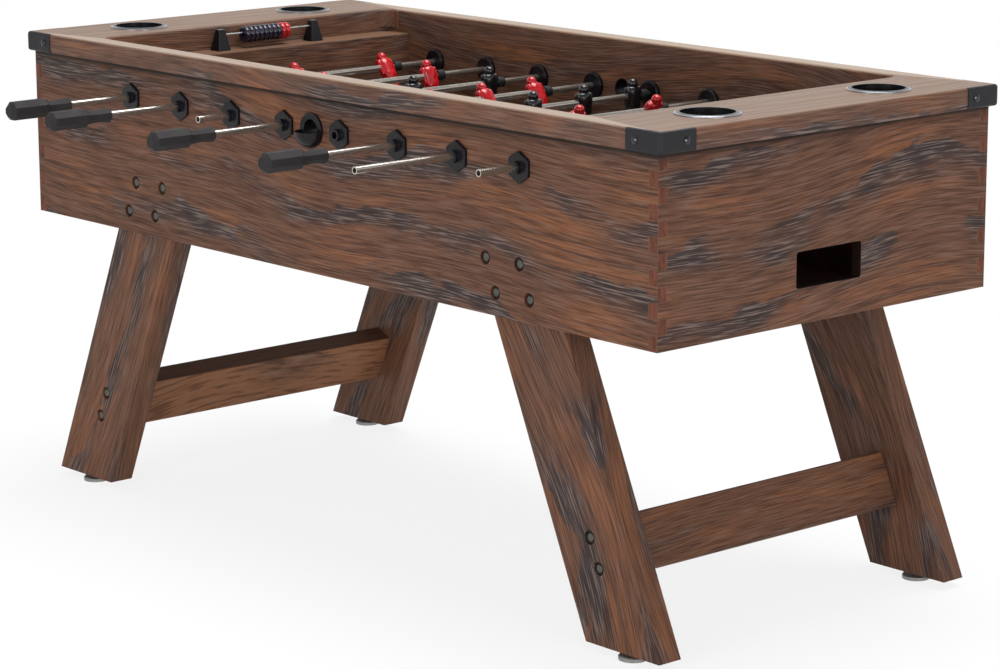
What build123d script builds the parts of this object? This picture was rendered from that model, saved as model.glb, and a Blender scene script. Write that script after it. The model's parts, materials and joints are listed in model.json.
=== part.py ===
"""Foosball table: a box-jointed cabinet on splayed plank legs, with eight sliding, turning rods."""

import os
from math import cos, radians, tan

from build123d import *

os.makedirs("parts", exist_ok=True)

# Overall, in millimetres. X runs along the table, -Y is the front long side, Z is up from the floor.
TABLE_HEIGHT = 866.0
RAIL_WIDTH = 780.0

# Top frame
RAIL_THICKNESS = 36.0
SIDE_RAIL_WIDTH = 43.0
END_RAIL_WIDTH = 180.0
OPENING_RADIUS = 28.0
SAWN_PAST_ROUNDING = 3.0
RAIL_CORNER_RADIUS = 6.0
RAIL_EDGE = 5.0

# Cabinet
END_OVERHANG = 12.0
SIDE_OVERHANG = 8.0
PANEL_HEIGHT = 308.0
PANEL_THICKNESS = 20.0
FINGER_PAIRS = 6
RETURN_WIDTH = 151.0
RETURN_HEIGHT = 60.0
RETURN_RADIUS = 5.0
RETURN_ABOVE_BOTTOM = 58.0

# Corner brackets and their screws
BRACKET_THICKNESS = 2.0
BRACKET_ARM = 77.0
BRACKET_SCREW_SETBACK = 57.0
SCREW_HEAD_RADIUS = 6.5
SCREW_HEAD_HEIGHT = 3.6
SCREW_SHANK_RADIUS = 2.2
SCREW_LENGTH = 22.0
SCREW_CLEARANCE = 0.2

# Cup holders
CUP_FLANGE_RADIUS = 54.0
CUP_FLANGE_HEIGHT = 3.2
CUP_RADIUS = 46.5
CUP_WALL = 2.0
CUP_DEPTH = 72.0
CUP_OFFSET = 198.0
CUP_SHIFT = 14.0
CUP_HOLE_CLEARANCE = 0.4

# Rods, with their bearings, grips, bumpers and men
ROD_PITCH = 152.4
ROD_DROP = 57.3
ROD_RADIUS = 6.35
ROD_WALL = 1.8
RUNNING_CLEARANCE = 0.06
BEARING_RADIUS = 27.0
BEARING_FLANGE = 6.0
BEARING_HUB_RADIUS = 11.0
BEARING_HUB = 7.0
BEARING_HUB_TAPER = 8.0
SLEEVE_RADIUS = 13.0
THREAD_GAP = 0.1
NUT_RADIUS = 24.5
NUT_THICKNESS = 8.0
GRIP_LENGTH = 127.0
GRIP_NECK_LENGTH = 50.0
GRIP_NECK_RADIUS = 13.2
GRIP_WAIST_RADIUS = 11.2
GRIP_RADIUS = 17.5
GRIP_SHOULDER = 4.0
GRIP_END_CHAMFER = 7.0
GRIP_ROD_DEPTH = 104.0
GRIP_STANDOFF = 53.5
TAIL_COVER = 11.0
BUMPER_RADIUS = 10.0
BUMPER_LENGTH = 16.0
BUMPER_EDGE = 2.0
BODY_GAP = 0.5
STOP_GAP = 0.5
MAN_WIDTH = 36.0
MAN_DEPTH = 28.0
MAN_EDGE = 2.0
HEAD_RADIUS = 10.5
HEAD_RISE = 33.0
FOOT_SWING_GAP = 4.2
FOOT_CLEARANCE = 6.0
GOALIE_SPACING = 215.0
DEFENCE_SPACING = 250.0
MIDFIELD_SPACING = 122.0
ATTACK_SPACING = 186.0

# How each rod stands, from the left end: the share of its travel to the back (+) or the front (-), and
# its turn in degrees, with the men's heads to the right end (+) or the left end (-)
ROD_REST = (0.04, 0.42, 0.28, -0.72, 0.94, 0.14, -0.26, -0.11)
ROD_TURN = (-36, -22, 0, -35, 0, 30, 0, 0)

# Playfield, goal walls and score keeper
PLAYFIELD_THICKNESS = 12.0
GROOVE_DEPTH = 8.0
GROOVE_CLEARANCE = 0.2
GOAL_GAP = 11.6
SHELF_WIDTH = 63.0
GOAL_BOARD = 15.0
SHELF_LIP = 12.0
SHELF_DROP = 8.5
GOAL_WIDTH = 200.0
GOAL_HEIGHT = 74.0
SCORER_SPAN = 224.0
SCORER_SETBACK = 41.0
SCORER_SHIFT = 25.0
POST_WIDTH = 29.0
POST_TOP_WIDTH = 14.0
POST_HEIGHT = 40.0
POST_EDGE = 2.0
WIRE_RADIUS = 2.0
WIRE_HEIGHT = 29.0
BEAD_COUNT = 10
BEAD_PITCH = 10.8
BEAD_GAP = 0.8
BEAD_RADIUS = 15.5
BEAD_BORE_RADIUS = 5.5
BEAD_HANG_GAP = 0.3
BEAD_SHIFT = 5.0

# Serve cups
SERVE_HOLE_RADIUS = 18.5
SERVE_SLEEVE_WALL = 2.0
SERVE_PLATE_RADIUS = 29.5
SERVE_PLATE = 4.0
SERVE_BOWL_DROP = 2.0
SERVE_BOWL_RADIUS = 29.0
SERVE_WALL = 3.0

# Ball-return trays
TRAY_BOARD = 6.0
TRAY_UNDER_FIELD = 12.0
TRAY_MARGIN = 6.0

# Legs, stretchers, bolts and levelers
LEG_SPLAY = 23.7
LEG_WIDTH = 155.0
LEG_THICKNESS = 48.0
LEG_OVERLAP = 130.0
FOOT_INSET = 11.0
FOOT_HEIGHT = 14.0
LEG_BOLT_SPACING = 82.0
LEG_BOLT_ROWS = 55.0
LEG_BOLT_ABOVE_BOTTOM = 65.5
STRETCHER_WIDTH = 96.0
STRETCHER_THICKNESS = 44.0
STRETCHER_EDGE = 2.0
STRETCHER_HEIGHT = 165.0
STRETCHER_BOLT_SPACING = 52.0
BOLT_HEAD_RADIUS = 9.5
BOLT_HEAD_HEIGHT = 5.0
BOLT_HEAD_TAPER = 32.0
BOLT_RADIUS = 4.0
BOLT_CLEARANCE = 0.3
BOLT_GRIP = 40.0
WASHER_RADIUS = 11.5
WASHER_THICKNESS = 1.0
COUNTERBORE_RADIUS = 12.0
COUNTERBORE_DEPTH = 8.0
PAD_RADIUS = 24.0
PAD_HEIGHT = 8.0
STEM_RADIUS = 5.0
STEM_DEPTH = 40.0
STEM_ROOM = 8.0

# Levels and faces that follow from the sizes above
Z_RAIL = TABLE_HEIGHT - RAIL_THICKNESS
Z_BOTTOM = Z_RAIL - PANEL_HEIGHT
Z_ROD = Z_RAIL - ROD_DROP
FOOT_REACH = ROD_PITCH / 2 - FOOT_SWING_GAP
Z_PLAY = Z_ROD - FOOT_REACH - FOOT_CLEARANCE
Z_SHELF = Z_RAIL - SHELF_DROP
FINGER = PANEL_HEIGHT / (2 * FINGER_PAIRS)
X_GOAL = 3.5 * ROD_PITCH + FOOT_REACH + GOAL_GAP
X_OPENING = X_GOAL + SHELF_WIDTH
X_RAIL = X_OPENING + END_RAIL_WIDTH
Y_RAIL = RAIL_WIDTH / 2
X_OUT = X_RAIL - END_OVERHANG
X_IN = X_OUT - PANEL_THICKNESS
Y_OUT = Y_RAIL - SIDE_OVERHANG
Y_IN = Y_OUT - PANEL_THICKNESS
Y_OPENING = Y_RAIL - SIDE_RAIL_WIDTH
X_CUP = (X_OPENING + X_IN) / 2 + CUP_SHIFT
WALL_THICKNESS = SIDE_RAIL_WIDTH - SIDE_OVERHANG
LINING_THICKNESS = WALL_THICKNESS - PANEL_THICKNESS
Y_WALL = Y_OUT - WALL_THICKNESS
Y_NUT = Y_WALL - NUT_THICKNESS
SLOPE = tan(radians(LEG_SPLAY))
LEG_CUT = LEG_WIDTH / cos(radians(LEG_SPLAY))
FOOT_HALF_SPAN = X_OUT - FOOT_INSET
X_FOOT = FOOT_HALF_SPAN - LEG_CUT / 2
Y_LEG = Y_IN - LEG_THICKNESS
Z_LEG_TOP = Z_BOTTOM + LEG_OVERLAP
FRONT, BACK = -1, 1


def half_travel(men, spacing):
    """How far a rod slides each way before its bumper meets a bearing nut."""
    return Y_NUT - STOP_GAP - BUMPER_LENGTH - BODY_GAP - MAN_WIDTH / 2 - (men - 1) * spacing / 2


def grip_offset(men, spacing):
    """Distance from the middle of a rod's men to the inner end of its grip."""
    return Y_OUT + half_travel(men, spacing) + GRIP_STANDOFF


def tail_offset(men, spacing):
    """Distance from the middle of a rod's men to its open tail end."""
    return Y_OUT + half_travel(men, spacing) - TAIL_COVER


# Each rod from the left: men, spacing, the side its grip is on, where it stands, and its turn
ROD_PLAN = [
    (3, GOALIE_SPACING, FRONT, ROD_REST[0], ROD_TURN[0]),
    (2, DEFENCE_SPACING, FRONT, ROD_REST[1], ROD_TURN[1]),
    (3, ATTACK_SPACING, BACK, ROD_REST[2], ROD_TURN[2]),
    (5, MIDFIELD_SPACING, FRONT, ROD_REST[3], ROD_TURN[3]),
    (5, MIDFIELD_SPACING, BACK, ROD_REST[4], ROD_TURN[4]),
    (3, ATTACK_SPACING, FRONT, ROD_REST[5], ROD_TURN[5]),
    (2, DEFENCE_SPACING, BACK, ROD_REST[6], ROD_TURN[6]),
    (3, GOALIE_SPACING, BACK, ROD_REST[7], ROD_TURN[7]),
]

# The grips reach further behind the table than in front of it. The origin is midway, so the cabinet's
# middle plane stands at Y_MID.
reach = {FRONT: 0.0, BACK: 0.0}
for men, spacing, side, rest, turn in ROD_PLAN:
    tip = side * rest * half_travel(men, spacing) + grip_offset(men, spacing) + GRIP_LENGTH
    reach[side] = max(reach[side], tip)
Y_MID = (reach[FRONT] - reach[BACK]) / 2
MIDDLE = Plane.XZ.offset(-Y_MID)


def facing_front(y):
    """A plane at y from the middle, looking at the front: local x is X, local y is Z."""
    return Plane.XZ.offset(-(Y_MID + y))


def leg_x(z):
    """X of a right leg's centre line at height z."""
    return X_FOOT - SLOPE * (z - FOOT_HEIGHT)


rod_places = [((k - 3.5) * ROD_PITCH, Z_ROD) for k in range(8)]
bolt_z = Z_BOTTOM + LEG_BOLT_ABOVE_BOTTOM
leg_bolt_places = [
    (leg_x(z) + column * LEG_BOLT_SPACING / 2, z)
    for z in (bolt_z - LEG_BOLT_ROWS / 2, bolt_z + LEG_BOLT_ROWS / 2)
    for column in (-1, 1)
]
stretcher_bolt_step = STRETCHER_BOLT_SPACING / 2 * cos(radians(LEG_SPLAY))
stretcher_bolt_places = [
    (leg_x(STRETCHER_HEIGHT + step), STRETCHER_HEIGHT + step)
    for step in (-stretcher_bolt_step, stretcher_bolt_step)
]
both_leg_bolt_places = leg_bolt_places + [(-x, z) for x, z in leg_bolt_places]

screw_level = Z_RAIL + RAIL_THICKNESS / 2
screw_x = X_RAIL + BRACKET_THICKNESS - BRACKET_SCREW_SETBACK
screw_y = Y_RAIL + BRACKET_THICKNESS - BRACKET_SCREW_SETBACK
screw_seats = []
for way in (-1, 1):
    for end in (-1, 1):
        seat_x = end * (X_RAIL + BRACKET_THICKNESS)
        screw_seats.append(Location((seat_x, Y_MID + way * screw_y, screw_level), (0, 0, 90 - 90 * end)))
        seat_y = Y_MID + way * (Y_RAIL + BRACKET_THICKNESS)
        screw_seats.append(Location((end * screw_x, seat_y, screw_level), (0, 0, 90 * way)))

# Front side panel: the board between the end panels, its fingers, the lining above the playfield, its
# bores and the playfield's groove
with BuildPart() as side_panel_front:
    with BuildSketch(facing_front(-Y_IN)) as board:
        with Locations((0, Z_BOTTOM + PANEL_HEIGHT / 2)):
            Rectangle(2 * X_IN, PANEL_HEIGHT)
        for pair in range(FINGER_PAIRS):
            with Locations((0, Z_BOTTOM + (2 * pair + 1.5) * FINGER)):
                Rectangle(2 * X_OUT, FINGER)
        with Locations(*both_leg_bolt_places):
            Circle(BOLT_RADIUS + BOLT_CLEARANCE, mode=Mode.SUBTRACT)
    extrude(amount=PANEL_THICKNESS)
    with BuildSketch(facing_front(-Y_WALL)) as lining:
        with Locations((0, (Z_PLAY + GROOVE_CLEARANCE + Z_RAIL) / 2)):
            Rectangle(2 * X_IN, Z_RAIL - Z_PLAY - GROOVE_CLEARANCE)
    extrude(amount=LINING_THICKNESS)
    with BuildSketch(facing_front(-Y_WALL)) as bores:
        with Locations(*rod_places):
            Circle(SLEEVE_RADIUS)
        with Locations((0, Z_ROD)):
            Circle(SERVE_HOLE_RADIUS + SERVE_SLEEVE_WALL)
    extrude(amount=WALL_THICKNESS, mode=Mode.SUBTRACT)
    with BuildSketch(facing_front(-Y_OUT)) as counterbores:
        with Locations(*both_leg_bolt_places):
            Circle(COUNTERBORE_RADIUS)
    extrude(amount=-COUNTERBORE_DEPTH, mode=Mode.SUBTRACT)
    with BuildSketch(facing_front(-Y_IN)) as groove:
        with Locations((0, Z_PLAY - (PLAYFIELD_THICKNESS - GROOVE_CLEARANCE) / 2)):
            Rectangle(2 * (X_GOAL + GOAL_BOARD), PLAYFIELD_THICKNESS + GROOVE_CLEARANCE)
    extrude(amount=GROOVE_DEPTH, mode=Mode.SUBTRACT)

with BuildPart() as side_panel_back:
    mirror(side_panel_front.part, about=MIDDLE)

# Right end panel, with the ball-return opening and the other half of the box joints
with BuildPart() as end_panel_right:
    with BuildSketch(Plane.YZ.offset(X_IN)) as board:
        with Locations((Y_MID, Z_BOTTOM + PANEL_HEIGHT / 2)):
            Rectangle(2 * Y_IN, PANEL_HEIGHT)
        for pair in range(FINGER_PAIRS):
            with Locations((Y_MID, Z_BOTTOM + (2 * pair + 0.5) * FINGER)):
                Rectangle(2 * Y_OUT, FINGER)
        with Locations((Y_MID, Z_BOTTOM + RETURN_ABOVE_BOTTOM + RETURN_HEIGHT / 2)):
            RectangleRounded(RETURN_WIDTH, RETURN_HEIGHT, RETURN_RADIUS, mode=Mode.SUBTRACT)
    extrude(amount=PANEL_THICKNESS)

with BuildPart() as end_panel_left:
    mirror(end_panel_right.part, about=Plane.YZ)

# The block that the top frame and the brackets around it are both shaped from
with BuildPart() as rail_block:
    with BuildSketch(Plane.XY.offset(Z_RAIL)) as outline:
        with Locations((0, Y_MID)):
            RectangleRounded(2 * X_RAIL, 2 * Y_RAIL, RAIL_CORNER_RADIUS)
    extrude(amount=RAIL_THICKNESS)
    fillet(rail_block.edges().group_by(Axis.Z)[0] + rail_block.edges().group_by(Axis.Z)[-1], RAIL_EDGE)

# Top frame: the opening with its rounded corners, the cup holes and the screw bores
with BuildPart() as top_frame:
    add(rail_block.part)
    with BuildSketch(Plane.XY.offset(Z_RAIL)) as opening:
        with Locations((0, Y_MID)):
            RectangleRounded(2 * X_OPENING, 2 * Y_OPENING, OPENING_RADIUS)
    extrude(amount=RAIL_THICKNESS, mode=Mode.SUBTRACT)
    inner_edges = top_frame.edges().group_by(Axis.Z)[-1]
    inner_edges = inner_edges.filter_by(
        lambda e: abs(e.center().X) < X_RAIL - END_RAIL_WIDTH / 2
        and abs(e.center().Y - Y_MID) < Y_RAIL - SIDE_RAIL_WIDTH / 2
    )
    fillet(inner_edges, RAIL_EDGE)
    with BuildSketch(Plane.XY.offset(Z_RAIL)) as cup_holes:
        with Locations((0, Y_MID)):
            with GridLocations(2 * X_CUP, 2 * CUP_OFFSET, 2, 2):
                Circle(CUP_RADIUS + CUP_HOLE_CLEARANCE)
    extrude(amount=RAIL_THICKNESS, mode=Mode.SUBTRACT)
    with Locations(*screw_seats):
        Cylinder(SCREW_SHANK_RADIUS, 2 * SCREW_LENGTH, rotation=(0, 90, 0), mode=Mode.SUBTRACT)

# The frame is sawn along the lines from its outside corners to just past where the opening's rounded corners
# start, so that the side rails are straight and the end rails hold the rounding
X_SAWN = X_OPENING - OPENING_RADIUS - SAWN_PAST_ROUNDING
sawn = [
    (2 * X_RAIL - X_SAWN, 2 * Y_RAIL - Y_OPENING),
    (X_SAWN - 2 * X_RAIL, 2 * Y_RAIL - Y_OPENING),
    (X_RAIL - 2 * X_SAWN, 2 * Y_OPENING - Y_RAIL),
    (2 * X_SAWN - X_RAIL, 2 * Y_OPENING - Y_RAIL),
]
with BuildSketch(Plane.XY.offset(Z_RAIL - RAIL_EDGE)) as side_areas:
    with Locations((0, Y_MID)):
        for way in (-1, 1):
            Polygon(*[(way * x, way * y) for x, y in sawn], align=None)

with BuildPart() as top_side_rails:
    add(top_frame.part)
    extrude(side_areas.sketch, amount=RAIL_THICKNESS + 2 * RAIL_EDGE, mode=Mode.INTERSECT)

with BuildPart() as top_end_rails:
    add(top_frame.part)
    extrude(side_areas.sketch, amount=RAIL_THICKNESS + 2 * RAIL_EDGE, mode=Mode.SUBTRACT)

# Corner brackets: formed plates around the rail's corners, each arm with a screw hole
with BuildPart() as corner_brackets:
    with BuildSketch(Plane.XY.offset(Z_RAIL)) as plate:
        with Locations((0, Y_MID)):
            RectangleRounded(
                2 * (X_RAIL + BRACKET_THICKNESS),
                2 * (Y_RAIL + BRACKET_THICKNESS),
                RAIL_CORNER_RADIUS + BRACKET_THICKNESS,
            )
    extrude(amount=RAIL_THICKNESS)
    plate_edges = corner_brackets.edges().group_by(Axis.Z)
    fillet(plate_edges[0] + plate_edges[-1], RAIL_EDGE)
    add(rail_block.part, mode=Mode.SUBTRACT)
    with BuildSketch(Plane.XY.offset(Z_RAIL - BRACKET_THICKNESS)) as between_arms:
        with Locations((0, Y_MID)):
            Rectangle(2 * (X_RAIL + BRACKET_THICKNESS - BRACKET_ARM), 3 * Y_RAIL)
            Rectangle(3 * X_RAIL, 2 * (Y_RAIL + BRACKET_THICKNESS - BRACKET_ARM))
    extrude(amount=RAIL_THICKNESS + 2 * BRACKET_THICKNESS, mode=Mode.SUBTRACT)
    with Locations(*screw_seats):
        Cylinder(
            SCREW_SHANK_RADIUS + SCREW_CLEARANCE, SCREW_LENGTH, rotation=(0, 90, 0), mode=Mode.SUBTRACT
        )

# A dome-headed screw along X, its head seated at the origin
with BuildPart() as bracket_screw:
    with BuildSketch(Plane.XZ) as profile:
        with BuildLine() as outline:
            rim = (SCREW_HEAD_HEIGHT * 0.3, SCREW_HEAD_RADIUS)
            Polyline(
                (SCREW_HEAD_HEIGHT, 0),
                (-SCREW_LENGTH, 0),
                (-SCREW_LENGTH, SCREW_SHANK_RADIUS),
                (0, SCREW_SHANK_RADIUS),
                (0, SCREW_HEAD_RADIUS),
                rim,
            )
            TangentArc((SCREW_HEAD_HEIGHT, 0), rim, tangent=(0, 1))
        make_face()
    revolve(axis=Axis.X)

with BuildPart() as bracket_screws:
    with Locations(*screw_seats):
        add(bracket_screw.part)

# Cup holders: flanged cups dropped through the end rails
with BuildPart() as cup_holder:
    Cylinder(CUP_FLANGE_RADIUS, CUP_FLANGE_HEIGHT, align=(Align.CENTER, Align.CENTER, Align.MIN))
    chamfer(
        cup_holder.edges().group_by(Axis.Z)[-1],
        length=CUP_FLANGE_HEIGHT * 0.6,
        length2=(CUP_FLANGE_RADIUS - CUP_RADIUS) * 0.7,
    )
    Cylinder(CUP_RADIUS, CUP_DEPTH, align=(Align.CENTER, Align.CENTER, Align.MAX))
    with Locations((0, 0, CUP_WALL - CUP_DEPTH)):
        Cylinder(
            CUP_RADIUS - CUP_WALL,
            CUP_DEPTH + CUP_FLANGE_HEIGHT,
            align=(Align.CENTER, Align.CENTER, Align.MIN),
            mode=Mode.SUBTRACT,
        )

with BuildPart() as cup_holders:
    with Locations((0, Y_MID, TABLE_HEIGHT)):
        with GridLocations(2 * X_CUP, 2 * CUP_OFFSET, 2, 2):
            add(cup_holder.part)

# Playfield, its long edges in the side panels' grooves
with BuildPart() as playfield:
    with BuildSketch(Plane.XY.offset(Z_PLAY - PLAYFIELD_THICKNESS)) as sheet:
        with Locations((0, Y_MID)):
            Rectangle(2 * (X_GOAL + GOAL_BOARD), 2 * (Y_IN + GROOVE_DEPTH))
    extrude(amount=PLAYFIELD_THICKNESS)

# Goal walls: an upright with the goal mouth, a shelf on top, and a lip up to the rail
with BuildPart() as goal_walls:
    with BuildSketch(facing_front(Y_WALL)) as section:
        Polygon(
            (X_GOAL, Z_PLAY),
            (X_GOAL + GOAL_BOARD, Z_PLAY),
            (X_GOAL + GOAL_BOARD, Z_SHELF - GOAL_BOARD),
            (X_OPENING + SHELF_LIP, Z_SHELF - GOAL_BOARD),
            (X_OPENING + SHELF_LIP, Z_RAIL),
            (X_OPENING, Z_RAIL),
            (X_OPENING, Z_SHELF),
            (X_GOAL, Z_SHELF),
            align=None,
        )
    extrude(amount=2 * Y_WALL)
    with BuildSketch(Plane.YZ.offset(X_GOAL)) as mouth:
        with Locations((Y_MID, Z_PLAY + GOAL_HEIGHT / 2)):
            Rectangle(GOAL_WIDTH, GOAL_HEIGHT)
    extrude(amount=GOAL_BOARD, mode=Mode.SUBTRACT)
    mirror(about=Plane.YZ)

# Score keeper: two tapered posts and a wire on the left shelf
X_SCORER = -X_GOAL - SCORER_SETBACK
Y_SCORER = Y_MID + SCORER_SHIFT
Z_WIRE = Z_SHELF + WIRE_HEIGHT
with BuildPart() as score_post:
    with BuildSketch(Plane.XY) as post_foot:
        RectangleRounded(POST_WIDTH, POST_WIDTH, POST_EDGE)
    with BuildSketch(Plane.XY.offset(POST_HEIGHT)) as post_top:
        RectangleRounded(POST_TOP_WIDTH, POST_TOP_WIDTH, POST_EDGE)
    loft()
    with Locations((0, 0, WIRE_HEIGHT)):
        Cylinder(WIRE_RADIUS, 2 * POST_WIDTH, rotation=(90, 0, 0), mode=Mode.SUBTRACT)

with BuildPart() as score_posts:
    with Locations(*[(X_SCORER, Y_SCORER + way * SCORER_SPAN / 2, Z_SHELF) for way in (-1, 1)]):
        add(score_post.part)

with BuildPart() as score_wire:
    with Locations((X_SCORER, Y_SCORER, Z_WIRE)):
        Cylinder(WIRE_RADIUS, SCORER_SPAN + POST_TOP_WIDTH * 0.8, rotation=(90, 0, 0))

# Ribbed beads, hung in one stack on the wire, off its middle
with BuildPart() as score_bead:
    Cylinder(BEAD_RADIUS, BEAD_PITCH - BEAD_GAP, rotation=(90, 0, 0))
    fillet(score_bead.edges(), (BEAD_PITCH - BEAD_GAP) * 0.4)
    Cylinder(BEAD_BORE_RADIUS, 2 * BEAD_PITCH, rotation=(90, 0, 0), mode=Mode.SUBTRACT)

Z_BEAD = Z_WIRE + WIRE_RADIUS + BEAD_HANG_GAP - BEAD_BORE_RADIUS
bead_steps = [(n - (BEAD_COUNT - 1) / 2) * BEAD_PITCH for n in range(BEAD_COUNT)]
with BuildPart() as score_beads:
    with Locations(*[(X_SCORER, Y_SCORER - BEAD_SHIFT + step, Z_BEAD) for step in bead_steps]):
        add(score_bead.part)

# Ball-return trays: open-topped boxes from the end panels' openings to under the playfield's ends, and wide
# enough to catch what drops behind the goals
Z_TRAY = Z_BOTTOM + RETURN_ABOVE_BOTTOM - TRAY_MARGIN
TRAY_HALF = max(GOAL_WIDTH, RETURN_WIDTH) / 2 + TRAY_MARGIN
TRAY_LENGTH = X_IN - (X_GOAL + GOAL_BOARD - TRAY_UNDER_FIELD)
with BuildPart() as ball_trays:
    with BuildSketch(Plane.YZ.offset(X_IN)) as trough:
        Polygon(
            (Y_MID - TRAY_HALF - TRAY_BOARD, Z_TRAY - TRAY_BOARD),
            (Y_MID + TRAY_HALF + TRAY_BOARD, Z_TRAY - TRAY_BOARD),
            (Y_MID + TRAY_HALF + TRAY_BOARD, Z_TRAY + RETURN_HEIGHT + 2 * TRAY_MARGIN),
            (Y_MID + TRAY_HALF, Z_TRAY + RETURN_HEIGHT + 2 * TRAY_MARGIN),
            (Y_MID + TRAY_HALF, Z_TRAY),
            (Y_MID - TRAY_HALF, Z_TRAY),
            (Y_MID - TRAY_HALF, Z_TRAY + RETURN_HEIGHT + 2 * TRAY_MARGIN),
            (Y_MID - TRAY_HALF - TRAY_BOARD, Z_TRAY + RETURN_HEIGHT + 2 * TRAY_MARGIN),
            align=None,
        )
    extrude(amount=-TRAY_LENGTH)
    with BuildSketch(Plane.YZ.offset(X_IN - TRAY_LENGTH)) as back_board:
        with Locations((Y_MID, Z_TRAY + TRAY_MARGIN + RETURN_HEIGHT / 2)):
            Rectangle(2 * TRAY_HALF, RETURN_HEIGHT + 2 * TRAY_MARGIN)
    extrude(amount=TRAY_BOARD)
    mirror(about=Plane.YZ)

# Serve cups: a round plate and sleeve in the wall, with a quarter-round bowl below the hole
with BuildPart() as serve_cups:
    with BuildSketch(facing_front(-Y_OUT)) as plate:
        with Locations((0, Z_ROD)):
            Circle(SERVE_PLATE_RADIUS)
    extrude(amount=SERVE_PLATE)
    with BuildSketch(facing_front(-Y_WALL)) as sleeve:
        with Locations((0, Z_ROD)):
            Circle(SERVE_HOLE_RADIUS + SERVE_SLEEVE_WALL)
    extrude(amount=WALL_THICKNESS)
    with Locations((0, Y_MID - Y_OUT - SERVE_PLATE, Z_ROD - SERVE_BOWL_DROP)):
        for radius, mode in ((SERVE_BOWL_RADIUS, Mode.ADD), (SERVE_BOWL_RADIUS - SERVE_WALL, Mode.SUBTRACT)):
            Sphere(
                radius,
                arc_size2=0,
                arc_size3=180,
                rotation=(0, 0, 180),
                align=(Align.CENTER, Align.MIN, Align.MAX),
                mode=mode,
            )
    with BuildSketch(facing_front(-Y_WALL)) as hole:
        with Locations((0, Z_ROD)):
            Circle(SERVE_HOLE_RADIUS)
    extrude(amount=WALL_THICKNESS + SERVE_PLATE, mode=Mode.SUBTRACT)
    mirror(about=MIDDLE)

# A rod bearing at the origin, its flange on the panel's outer face, and the nut inside the panel
with BuildPart() as bearing:
    with BuildSketch(Plane.XZ) as flange:
        RegularPolygon(BEARING_RADIUS, 6, rotation=30)
        fillet(flange.vertices(), BEARING_RADIUS * 0.15)
    extrude(amount=BEARING_FLANGE)
    chamfer(bearing.edges().group_by(Axis.Y)[0], BEARING_FLANGE * 0.25)
    with BuildSketch(Plane.XZ.offset(BEARING_FLANGE)) as hub:
        Circle(BEARING_HUB_RADIUS)
    extrude(amount=BEARING_HUB, taper=BEARING_HUB_TAPER)
    with BuildSketch(Plane.XZ.offset(-WALL_THICKNESS - NUT_THICKNESS)) as sleeve:
        Circle(SLEEVE_RADIUS)
    extrude(amount=WALL_THICKNESS + NUT_THICKNESS)
    with BuildSketch(Plane.XZ.offset(-WALL_THICKNESS - NUT_THICKNESS)) as bore:
        Circle(ROD_RADIUS + RUNNING_CLEARANCE)
    extrude(amount=WALL_THICKNESS + NUT_THICKNESS + BEARING_FLANGE + BEARING_HUB, mode=Mode.SUBTRACT)

with BuildPart() as bearing_nut:
    with BuildSketch(Plane.XZ.offset(-WALL_THICKNESS - NUT_THICKNESS)) as ring:
        Circle(NUT_RADIUS)
    extrude(amount=NUT_THICKNESS)
    chamfer(bearing_nut.edges().group_by(Axis.Y)[-1], NUT_THICKNESS * 0.3)
    with BuildSketch(Plane.XZ.offset(-WALL_THICKNESS - NUT_THICKNESS)) as thread:
        Circle(SLEEVE_RADIUS + THREAD_GAP)
    extrude(amount=NUT_THICKNESS, mode=Mode.SUBTRACT)

with BuildPart() as rod_bearings:
    with Locations(*[(x, Y_MID - Y_OUT, z) for x, z in rod_places]):
        add(bearing.part)
        add(bearing_nut.part)
    mirror(about=MIDDLE)

# One man, the rod's axis along Y through the chest
with BuildPart() as man:
    with BuildSketch(Plane.YZ) as front_view:
        with BuildLine() as outline:
            Polyline(
                (0, FOOT_REACH * 0.25),
                (MAN_WIDTH * 0.20, FOOT_REACH * 0.25),
                (MAN_WIDTH * 0.42, FOOT_REACH * 0.20),
                (MAN_WIDTH * 0.50, FOOT_REACH * 0.10),
                (MAN_WIDTH * 0.50, -FOOT_REACH * 0.24),
                (MAN_WIDTH * 0.36, -FOOT_REACH * 0.27),
                (MAN_WIDTH * 0.31, -FOOT_REACH * 0.46),
                (MAN_WIDTH * 0.27, -FOOT_REACH * 0.74),
                (MAN_WIDTH * 0.34, -FOOT_REACH * 0.86),
                (MAN_WIDTH * 0.34, -FOOT_REACH * 0.995),
                (0, -FOOT_REACH * 0.995),
            )
            mirror(about=Plane.YZ)
        make_face()
        fillet(front_view.vertices().filter_by(lambda v: abs(v.X) > MAN_EDGE / 2), MAN_EDGE)
    extrude(amount=MAN_DEPTH, both=True)
    with BuildSketch(Plane.XZ.offset(-MAN_WIDTH)) as side_view:
        with BuildLine() as outline:
            Polyline(
                (0, FOOT_REACH * 0.27),
                (MAN_DEPTH * 0.32, FOOT_REACH * 0.27),
                (MAN_DEPTH * 0.50, FOOT_REACH * 0.13),
                (MAN_DEPTH * 0.50, -FOOT_REACH * 0.20),
                (MAN_DEPTH * 0.34, -FOOT_REACH * 0.36),
                (MAN_DEPTH * 0.26, -FOOT_REACH * 0.66),
                (MAN_DEPTH * 0.43, -FOOT_REACH * 0.84),
                (MAN_DEPTH * 0.41, -FOOT_REACH * 0.92),
                (MAN_DEPTH * 0.19, -FOOT_REACH * 1.01),
                (0, -FOOT_REACH * 1.01),
            )
            mirror(about=Plane.YZ)
        make_face()
        fillet(side_view.vertices().filter_by(lambda v: abs(v.X) > MAN_EDGE / 2), MAN_EDGE)
    extrude(amount=2 * MAN_WIDTH, mode=Mode.INTERSECT)
    with Locations((0, 0, HEAD_RISE - HEAD_RADIUS)):
        Sphere(HEAD_RADIUS)
    Cylinder(ROD_RADIUS, 2 * MAN_WIDTH, rotation=(90, 0, 0), mode=Mode.SUBTRACT)

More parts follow.
